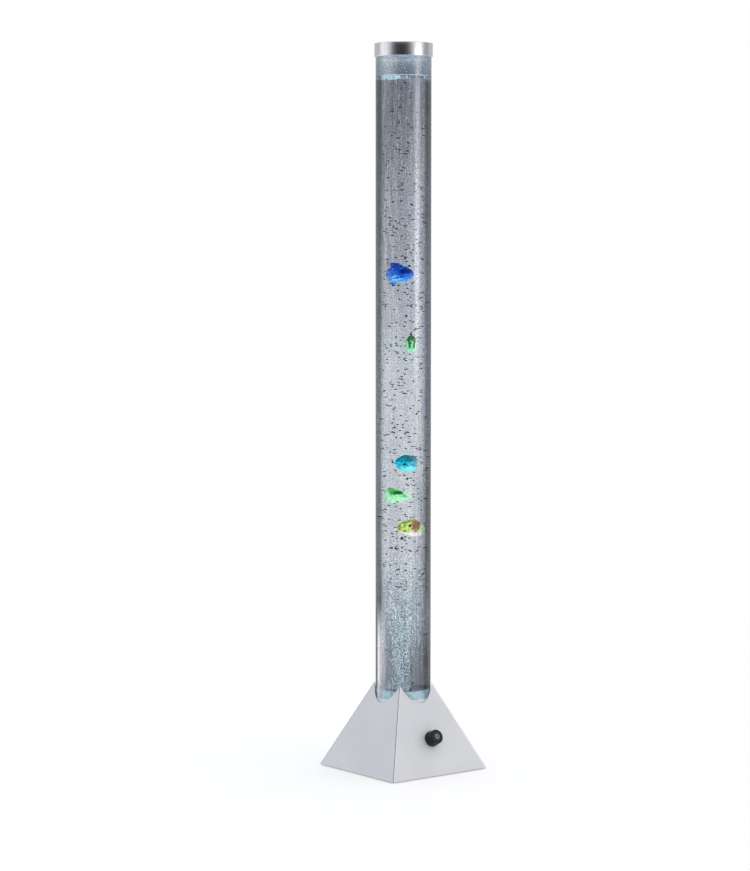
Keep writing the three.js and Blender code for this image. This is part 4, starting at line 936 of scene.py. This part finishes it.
def fish_skin(name, fish, fin):
    """Painted plastic: belly, side and back, blurred patches, broken strokes, a gill line and scales, and a
    slight glow that is painted light.
    """
    material, g = new_graph(name + ("_fin" if fin else "_skin"))
    length, height, thickness = (s * MM for s in fish["size"])
    place = g.place()
    along = g.sum("MULTIPLY_ADD", place["X"], 1 / length, 0.5)
    up = g.sum("MULTIPLY_ADD", place["Z"], 1 / height, 0.5)
    wander = g.noise(300, detail=3.0, roughness=0.65)
    uneven = g.sum("MULTIPLY_ADD", wander, 0.44, -0.22)
    belly, side, back = fish["tones"]
    low, high = fish["edges"]
    level = g.sum("ADD", up, uneven)
    base = g.mix(g.shift(level, low - 0.11, low + 0.11), tone(belly), tone(side))
    base = g.mix(g.shift(level, high - 0.10, high + 0.10), base, tone(back))
    for lean, count, code, strength, bottom, top in fish["strokes"]:
        tilt = math.radians(lean)
        run = g.sum("MULTIPLY_ADD", along, math.sin(tilt), g.times(up, math.cos(tilt)))
        run = g.sum("ADD", run, g.times(uneven, 0.5))
        wave = g.sum("SINE", g.times(run, 2 * math.pi * count))
        broken = g.shift(g.noise(260 + 20 * count, detail=2.0), 0.36, 0.50)
        within = g.band(up, bottom, bottom + 0.08, top - 0.08, top)
        base = g.mix(g.times(g.shift(wave, 0.0, 0.7), broken, within, strength), base, tone(code))
    for at, rise, half_long, half_high, code, strength in fish["patches"]:
        away = g.length(g.sum("DIVIDE", g.sum("SUBTRACT", along, at), half_long),
                        g.sum("DIVIDE", g.sum("SUBTRACT", up, rise), half_high))
        away = g.sum("MULTIPLY_ADD", uneven, 1.8, away)
        base = g.mix(g.shift(away, 0.55, 1.20, strength, 0.0), base, tone(code))
    if "bars" in fish:
        far_out, half, bottom, top, code = fish["bars"]
        over = g.sum("ABSOLUTE", g.times(place["Y"], 1 / thickness))
        middle = g.times(g.sum("MULTIPLY_ADD", up, 0.9, 0.35), far_out)
        off = g.sum("MULTIPLY_ADD", uneven, 0.15, g.sum("ABSOLUTE", g.sum("SUBTRACT", over, middle)))
        bar = g.times(g.shift(off, half * 0.5, half * 1.1, 1.0, 0.0),
                      g.band(up, bottom, bottom + 0.12, top, top + 0.1))
        base = g.mix(g.times(bar, 0.95), base, tone(code))
    base = g.scaled(base, g.shift(g.noise(700, detail=2.0), 0.36, 0.64, 0.70, 1.22))
    if fin:
        rays = g.sum("SINE", g.times(g.sum("ADD", along, g.times(up, 0.6)), 120.0))
        ribbed = g.sum("MULTIPLY_ADD", rays, 0.5, 0.5)
        base = g.mix(0.22, base, tone(fish["fin"]))
        base = g.mix(g.times(ribbed, 0.18), base, tone(back))
        relief = g.bump(ribbed, 0.5, 0.25 * MM)
    else:
        gill = g.length(g.sum("SUBTRACT", along, 0.58), g.times(g.sum("SUBTRACT", up, 0.5), 0.7))
        line = g.shift(g.sum("ABSOLUTE", g.sum("SUBTRACT", gill, 0.17)), 0.008, 0.022, 0.5, 0.0)
        base = g.mix(g.times(line, g.shift(along, 0.66, 0.70)), base, tone(back))
        scales = g.add("TexVoronoi", {"Vector": g.coords((1, 1, 1.4)), "Scale": 620.0}, out="Distance")
        relief = g.bump(scales, 0.35, 0.15 * MM)
    g.close(g.principled(
        Base_Color=base, Roughness=g.shift(wander, 0.3, 0.7, 0.24, 0.36), Specular_IOR_Level=0.03,
        Emission_Color=base, Emission_Strength=0.6, Normal=relief,
    ))
    return material


def set_out(forward, aside, height):
    """A point so far from the tube's axis towards the viewer, and so far to the viewer's right."""
    right = VIEWER_BEARING + math.pi / 2
    return Vector((
        forward * math.cos(VIEWER_BEARING) + aside * math.cos(right),
        forward * math.sin(VIEWER_BEARING) + aside * math.sin(right),
        height,
    ))


def add_solid(shape, points, faces, index):
    corners = [shape.verts.new(p) for p in points]
    for face in faces:
        try:
            shape.faces.new([corners[i] for i in face]).material_index = index
        except ValueError:
            pass


def add_body(shape, fish, body_share):
    """The body: rings round a smooth profile, a little fuller below than above."""
    length, height, thickness = (s * MM for s in fish["size"])
    segments = 28
    points, faces = [], []
    for x, radius in BODY_LINE[1:-1]:
        radius = max(radius, 0.02)
        for k in range(segments):
            angle = 2 * math.pi * k / segments
            rise, aside = math.sin(angle), math.cos(angle)
            slim = 1.0 - 0.16 * max(0.0, rise) ** 2
            full = math.copysign(abs(aside) ** 0.9, aside)
            points.append((x * length, full * radius * thickness / 2 * slim,
                           rise * radius * body_share * height / 2))
    count = len(BODY_LINE) - 2
    for i in range(count - 1):
        here, there = i * segments, (i + 1) * segments
        for k in range(segments):
            n = (k + 1) % segments
            faces.append((here + k, here + n, there + n, there + k))
    points.append((BODY_LINE[0][0] * length, 0.0, 0.0))
    points.append((BODY_LINE[-1][0] * length, 0.0, 0.0))
    tail, nose, last = len(points) - 2, len(points) - 1, (count - 1) * segments
    for k in range(segments):
        n = (k + 1) % segments
        faces.append((tail, n, k))
        faces.append((nose, last + k, last + n))
    add_solid(shape, points, faces, 0)


def add_fin(shape, outline, fish, matrix=None):
    """A fin: a plate of an outline, thin and ribbed at its edge and fuller inside."""
    length, height, _ = (s * MM for s in fish["size"])
    edge = cut_corners([Vector((x * length, z * height)) for x, z in outline], 2)
    count = len(edge)
    turn = sum(a.cross(b) for a, b in zip(edge, [*edge[1:], edge[0]]))
    inward = 1.0 if turn > 0 else -1.0
    points, faces = [], []
    for side in (-1, 1):
        for reach, thick in ((0.0, 0.22), (0.5 * MM, 0.44), (1.1 * MM, 0.5)):
            for i, p in enumerate(edge):
                run = (edge[(i + 1) % count] - edge[i - 1]).normalized()
                q = p + Vector((-run.y, run.x)) * inward * reach
                groove = 1.0 - 0.22 * (i % 2) * (reach < 1 * MM)
                points.append((q.x, side * FIN_THICKNESS * thick * groove, q.y))
    block = 3 * count
    for i in range(count):
        n = (i + 1) % count
        for first in (0, count, block, block + count):
            faces.append((first + i, first + n, first + count + n, first + count + i))
        faces.append((i, block + i, block + n, n))
    for first in (2 * count, block + 2 * count):
        ring = [Vector(points[first + i]) for i in range(count)]
        for triangle in tessellate_polygon([ring]):
            faces.append(tuple(first + i for i in triangle))
    if matrix is not None:
        points = [matrix @ Vector(p) for p in points]
    add_solid(shape, points, faces, 1)


def add_ball(shape, centre, radii, index):
    points, faces = ball(8, 14)
    placed = [[c + p * r for c, p, r in zip(centre, point, radii)] for point in points]
    add_solid(shape, placed, faces, index)


def body_half_width(fish, x, z, body_share):
    """How far the body's side stands out at a place along and up, in metres."""
    _, height, thickness = (s * MM for s in fish["size"])
    radius = next((a[1] + (b[1] - a[1]) * (x - a[0]) / max(b[0] - a[0], 1e-6)
                   for a, b in zip(BODY_LINE, BODY_LINE[1:]) if a[0] <= x <= b[0]), 0.1)
    rise = min(0.98, abs(z * height / (radius * body_share * height / 2)))
    return thickness / 2 * radius * math.sqrt(1 - rise ** 2)


def make_fish(name, fish):
    body_share, fins = FORMS[fish["form"]]
    length, height, thickness = (s * MM for s in fish["size"])
    shape = bmesh.new()
    add_body(shape, fish, body_share)
    for outline in fins:
        add_fin(shape, outline, fish)
    root = SIDE_FIN[0][1] * height
    for side in (-1, 1):
        stand = side * thickness / 2 - side * FIN_THICKNESS
        matrix = (Matrix.Translation((0, stand, root)) @ Matrix.Rotation(-side * SIDE_FIN_SPLAY, 4, "X")
                  @ Matrix.Translation((0, 0, -root)))
        add_fin(shape, SIDE_FIN, fish, matrix)
        along, up = EYE_PLACE
        stands = body_half_width(fish, along, up, body_share)
        radius = EYE_RADIUS * length
        place = (along * length, side * (stands - radius * 0.22), up * height)
        add_ball(shape, place, (radius, radius * 0.6, radius), 2)
        pupil = (place[0] + radius * 0.12, place[1] + side * radius * 0.34, place[2])
        add_ball(shape, pupil, (radius * 0.52, radius * 0.4, radius * 0.52), 3)
    for lip in (-1, 1):
        add_ball(shape, (0.462 * length, 0, (0.018 * lip - 0.01) * height),
                 (0.03 * length, 0.07 * thickness, 0.02 * height), 0)
    bmesh.ops.recalc_face_normals(shape, faces=shape.faces)
    mesh = bpy.data.meshes.new(name + "_model")
    shape.to_mesh(mesh)
    shape.free()
    skins = [fish_skin(name, fish, False), fish_skin(name, fish, True)]
    skins += [look["eye_white"], look["eye_black"]]
    place = set_out(fish["forward"] * MM, fish["sideways"] * MM, fish["level"] * MM)
    matrix = Matrix.Translation(place) @ Matrix.Rotation(math.radians(fish["heading"]), 4, "Z")
    finish_piece(name + "_model", mesh, name, skins, name, [name], 40, matrix)


for fish_name, fish_facts in FISH.items():
    make_fish(fish_name, fish_facts)


# Air: bubbles, the plume over the stone, foam and droplets

LENS = 0.25  # how strongly the round column widens what lies deeper in it
ROOM = TUBE_INNER - 3 * MM  # how far from the axis fine air keeps

# How many of each are drawn; grains and droplets that would lie out of bounds are dropped
BUBBLES = 470
GRAINS_AROUND = 1500  # on all sides of the stone, fewest on its right
GRAINS_BEFORE = 1100  # between the stone and the viewer
EDGE_BUBBLES = 300
DROPLETS = 520


class Dice(random.Random):
    """Seeded chance, that also draws lengths: evenly between two, or gathered round a middle."""

    def mm(self, low, high):
        return self.uniform(low, high) * MM

    def near(self, middle, spread):
        return self.gauss(middle, spread) * MM


def swept_boxes(margin):
    """The room that each fish takes on its whole slide."""
    boxes = []
    for joint in frame["joints"]:
        if joint["child"] in FISH:
            low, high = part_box(joint["child"])
            down, up = joint["range_m"]
            boxes.append((low - Vector((margin, margin, margin - down)),
                          high + Vector((margin, margin, margin + up))))
    return boxes


FISH_ROOM = swept_boxes(2.5 * MM)


def in_fish_room(point):
    return any(all(low[i] < point[i] < high[i] for i in range(3)) for low, high in FISH_ROOM)


def seen_at(apparent, depth, height):
    """The place of what shows at a sideways distance from the middle, at a depth from the near wall."""
    widening = 1 / (1 - LENS * depth / TUBE_RADIUS)
    return set_out(TUBE_RADIUS - depth, apparent / widening, height), widening


BUBBLE_WEIGHTS = [
    # height in millimetres, from the top down, and how closely the bubbles lie there
    (1121, 0.10), (1055, 0.40), (960, 1.0), (760, 1.25), (560, 1.25), (420, 1.3), (355, 1.4), (300, 0.9),
    (262, 0.30), (215, 0.08), (160, 0.02),
]


def bubble_weight(height):
    for (top, a), (bottom, b) in zip(BUBBLE_WEIGHTS, BUBBLE_WEIGHTS[1:]):
        if bottom * MM <= height <= top * MM:
            return b + (a - b) * (height - bottom * MM) / ((top - bottom) * MM)
    return 0.0


def flat_tilt(dice, spread):
    """A small lean to the left or right, as seen from the camera."""
    across = Vector((math.cos(VIEWER_BEARING), math.sin(VIEWER_BEARING), 0))
    return Matrix.Rotation(dice.gauss(0, spread), 4, across)


def make_bubbles():
    """Rising air, flattened as it rises, kept clear of where the fish go."""
    dice = Dice(11)
    places = []
    while len(places) < BUBBLES:
        height = dice.mm(165, 1112)
        if dice.uniform(0, 2.0) > bubble_weight(height):
            continue
        depth = dice.choice((dice.uniform(4, 30), dice.uniform(50, 80))) * MM
        apparent = dice.mm(-34, 37)
        point, widening = seen_at(apparent, depth, height)
        if point.xy.length > TUBE_INNER - 3.5 * MM or in_fish_room(point):
            continue
        half = dice.mm(1.9, 3.1) / widening
        squash = dice.mm(0.75, 1.1)
        spin = Matrix.Rotation(VIEWER_BEARING + dice.uniform(-0.5, 0.5), 4, "Z")
        size = Matrix.Diagonal((half * 0.7, half, squash, 1.0))
        places.append(Matrix.Translation(point) @ flat_tilt(dice, 0.24) @ spin @ size)
    scattered("air_bubbles", places, 6, 10, look["bubble"])


def wavy_path(dice, apparent, depth, low, high, swing, drift):
    """A string of air from one height up to another, swaying as it climbs."""
    phases = [dice.uniform(0, 2 * math.pi) for _ in range(3)]
    count = max(8, int((high - low) / (3.5 * MM)))
    path = []
    for i in range(count + 1):
        share = i / count
        height = low + (high - low) * share
        sway = (math.sin(height / (9 * MM) + phases[0]) * 0.5 + math.sin(height / (23 * MM) + phases[1])
                + math.sin(height / (4.3 * MM) + phases[2]) * 0.25) * swing
        point, _ = seen_at(apparent + drift * share + sway, depth, height)
        path.append(point)
    return path


def speck(dice, point, size):
    """A small grain of air, longer upright than across."""
    shape = Matrix.Diagonal((size * 0.85, size * 0.85, size * dice.uniform(1.0, 3.2), 1.0))
    return Matrix.Translation(point) @ flat_tilt(dice, 0.3) @ shape


def beside(dice, a, b, spread):
    """A point near the line between two others."""
    return a.lerp(b, dice.random()) + Vector((dice.gauss(0, spread), dice.gauss(0, spread), 0)) * MM


def strew(dice, path, counts, spread, sizes):
    """Grains of air along a string, so many to each step of it."""
    return [speck(dice, beside(dice, a, b, spread), dice.mm(*sizes))
            for a, b in zip(path, path[1:]) for _ in range(dice.choice(counts))]


def strings(dice, count, lows, starts, depths, climbs, swing, drifts):
    """Wavy strings of air one by one: starts and drifts say how far aside each begins and leans."""
    for _ in range(count):
        low = dice.mm(*lows)
        start = starts(low)
        yield wavy_path(dice, start, dice.mm(*depths), low, low + dice.mm(*climbs), swing * MM,
                        drifts(start))


def make_plume():
    """Fine air over the stone: wavy strings of specks that spread and thin out as they climb."""
    dice = Dice(23)
    specks = []
    lowest, reach = 134, 81
    for path in strings(dice, 74, (lowest, lowest + reach),
                        lambda low: dice.near(-1.5, 4.6 + 6.0 * ((low - lowest * MM) / (reach * MM))),
                        (26, 66), (55, 135), 1.5,
                        lambda start: start * dice.uniform(0.3, 1.5) + dice.near(0, 5.5)):
        for a, b in zip(path, path[1:]):
            thin = max(0.15, 1.0 - max(0.0, a.z - 225 * MM) / (150 * MM))
            for _ in range(3):
                if dice.random() > thin * 0.62:
                    continue
                point = beside(dice, a, b, 0.7)
                if point.xy.length < ROOM:
                    specks.append(speck(dice, point, dice.mm(0.36, 0.84)))
    for path in strings(dice, 52, (133, 152), lambda _: dice.near(-3.2, 4.6), (12, 42), (40, 90), 1.7,
                        lambda start: start * dice.uniform(0.0, 0.8) + dice.near(0, 2.0)):
        specks += strew(dice, path, (0, 1, 2, 3), 0.5, (0.4, 0.95))
    for side, count in ((1, 12), (-1, 6)):
        for path in strings(dice, count, (133, 175), lambda _: side * dice.mm(9, 16), (6, 30), (30, 80),
                            2.4, lambda _: dice.near(0, 3)):
            specks += strew(dice, path, (0, 1, 2), 0.4, (0.35, 0.75))
    for path in strings(dice, 16, (148, 215), lambda _: dice.mm(13, 31), (10, 46), (35, 90), 2.6,
                        lambda _: dice.near(-2, 4)):
        for a, b in zip(path, path[1:]):
            for _ in range(3):
                point = beside(dice, a, b, 0.25)
                if dice.random() < 0.8 and point.xy.length < ROOM:
                    specks.append(speck(dice, point, dice.mm(0.22, 0.48)))
    for path in strings(dice, 44, (160, 285), lambda _: dice.near(1, 13), (8, 40), (40, 120), 1.3,
                        lambda _: dice.near(0, 4)):
        for a, b in zip(path, path[1:]):
            if dice.random() < 0.85 and max(a.xy.length, b.xy.length) < TUBE_INNER - 2 * MM:
                size = dice.mm(0.22, 0.38)
                along = (b - a).to_track_quat("Z", "X").to_matrix().to_4x4()
                bead = Matrix.Diagonal((size, size, (b - a).length * 0.5, 1.0))
                specks.append(Matrix.Translation(a.lerp(b, 0.5)) @ along @ bead)
    for _ in range(GRAINS_AROUND):
        angle = dice.uniform(0, 2 * math.pi)
        radius = (10.8 + abs(dice.gauss(0, 7))) * MM
        climb = abs(dice.gauss(0, 7)) * MM * max(0.1, 1 - radius / (34 * MM))
        to_right = math.cos(angle - VIEWER_BEARING - math.pi / 2)
        if radius < ROOM and dice.random() > 0.4 + 0.8 * to_right:
            point = Vector(round_axis(angle, radius, PLUG_TOP + 0.8 * MM + climb))
            specks.append(speck(dice, point, dice.mm(0.3, 0.7)))
    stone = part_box("air_stone")[1].x + 1 * MM
    for _ in range(GRAINS_BEFORE):
        level = PLUG_TOP + (1 + abs(dice.gauss(0, 8))) * MM
        point, _ = seen_at(dice.near(-3, 8), dice.mm(7, 34), level)
        if stone < point.xy.length < ROOM:
            specks.append(speck(dice, point, dice.mm(0.3, 0.7)))
    scattered("air_plume", specks, 3, 5, look["speck"])


def make_threads():
    """Long fine strings of air beside the plume and further up."""
    dice = Dice(31)
    paths = [
        *strings(dice, 9, (145, 240), lambda _: dice.mm(13, 31), (12, 60), (40, 110), 3.0,
                 lambda _: dice.near(-1, 5)),
        *strings(dice, 8, (150, 260), lambda _: dice.mm(-30, -16), (12, 60), (30, 90), 1.6,
                 lambda _: dice.near(0, 4)),
        *strings(dice, 16, (330, 900), lambda _: dice.choice((-1, 1)) * dice.mm(10, 28), (58, 74),
                 (50, 170), 1.8, lambda _: dice.near(0, 4)),
    ]
    kept = [p for p in paths if max(q.xy.length for q in p) < TUBE_INNER - 2 * MM]
    mesh = threads("air_strings", kept, 0.24 * MM)
    finish_piece("air_strings", mesh, "lamp", look["thread"], smooth=60)


def make_foam():
    """Small bubbles along the water's edge, and a raft of them just under the surface."""
    dice = Dice(41)
    places = []
    for i in range(EDGE_BUBBLES):
        angle = 2 * math.pi * (i + dice.uniform(-0.3, 0.3)) / EDGE_BUBBLES
        size = dice.mm(0.45, 0.75)
        radius = TUBE_INNER - 0.1 * MM - size
        at = Matrix.Translation(round_axis(angle, radius, WATER_TOP + dice.mm(0.5, 1.2)))
        places.append(at @ Matrix.Diagonal((size, size, size, 1)))
    for middle, half, tries in ((-37, 1.6, 90), (-20, 9.0, 860), (37.5, 2.0, 150), (2, 12, 20)):
        for _ in range(tries):
            level = WATER_TOP - (0.7 + abs(dice.gauss(0, 0.9))) * MM
            point, _ = seen_at(dice.near(middle, half * 0.6), dice.mm(4, 80), level)
            if point.xy.length < TUBE_INNER - 2 * MM:
                size = dice.mm(0.5, 1.2)
                places.append(Matrix.Translation(point) @ Matrix.Diagonal((size, size, size * 0.6, 1)))
    scattered("surface_foam", places, 5, 8, look["foam"])


def make_droplets():
    """Spray on the inside of the wall over the water."""
    dice = Dice(53)
    places = []
    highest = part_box("cap")[0].z + 12 * MM
    radius = TUBE_INNER - 0.12 * MM
    for _ in range(DROPLETS):
        angle = dice.uniform(0, 2 * math.pi)
        height = WATER_TOP + dice.mm(3, SPRAY)
        if height > highest:
            continue
        size = dice.mm(0.2, 0.5)
        at = Matrix.Translation(round_axis(angle, radius, height))
        shape = Matrix.Diagonal((size * 0.6, size, size * 1.2, 1))
        places.append(at @ Matrix.Rotation(angle, 4, "Z") @ shape)
    scattered("wall_droplets", places, 5, 8, look["droplet"])


make_bubbles()
make_plume()
make_threads()
make_foam()
make_droplets()
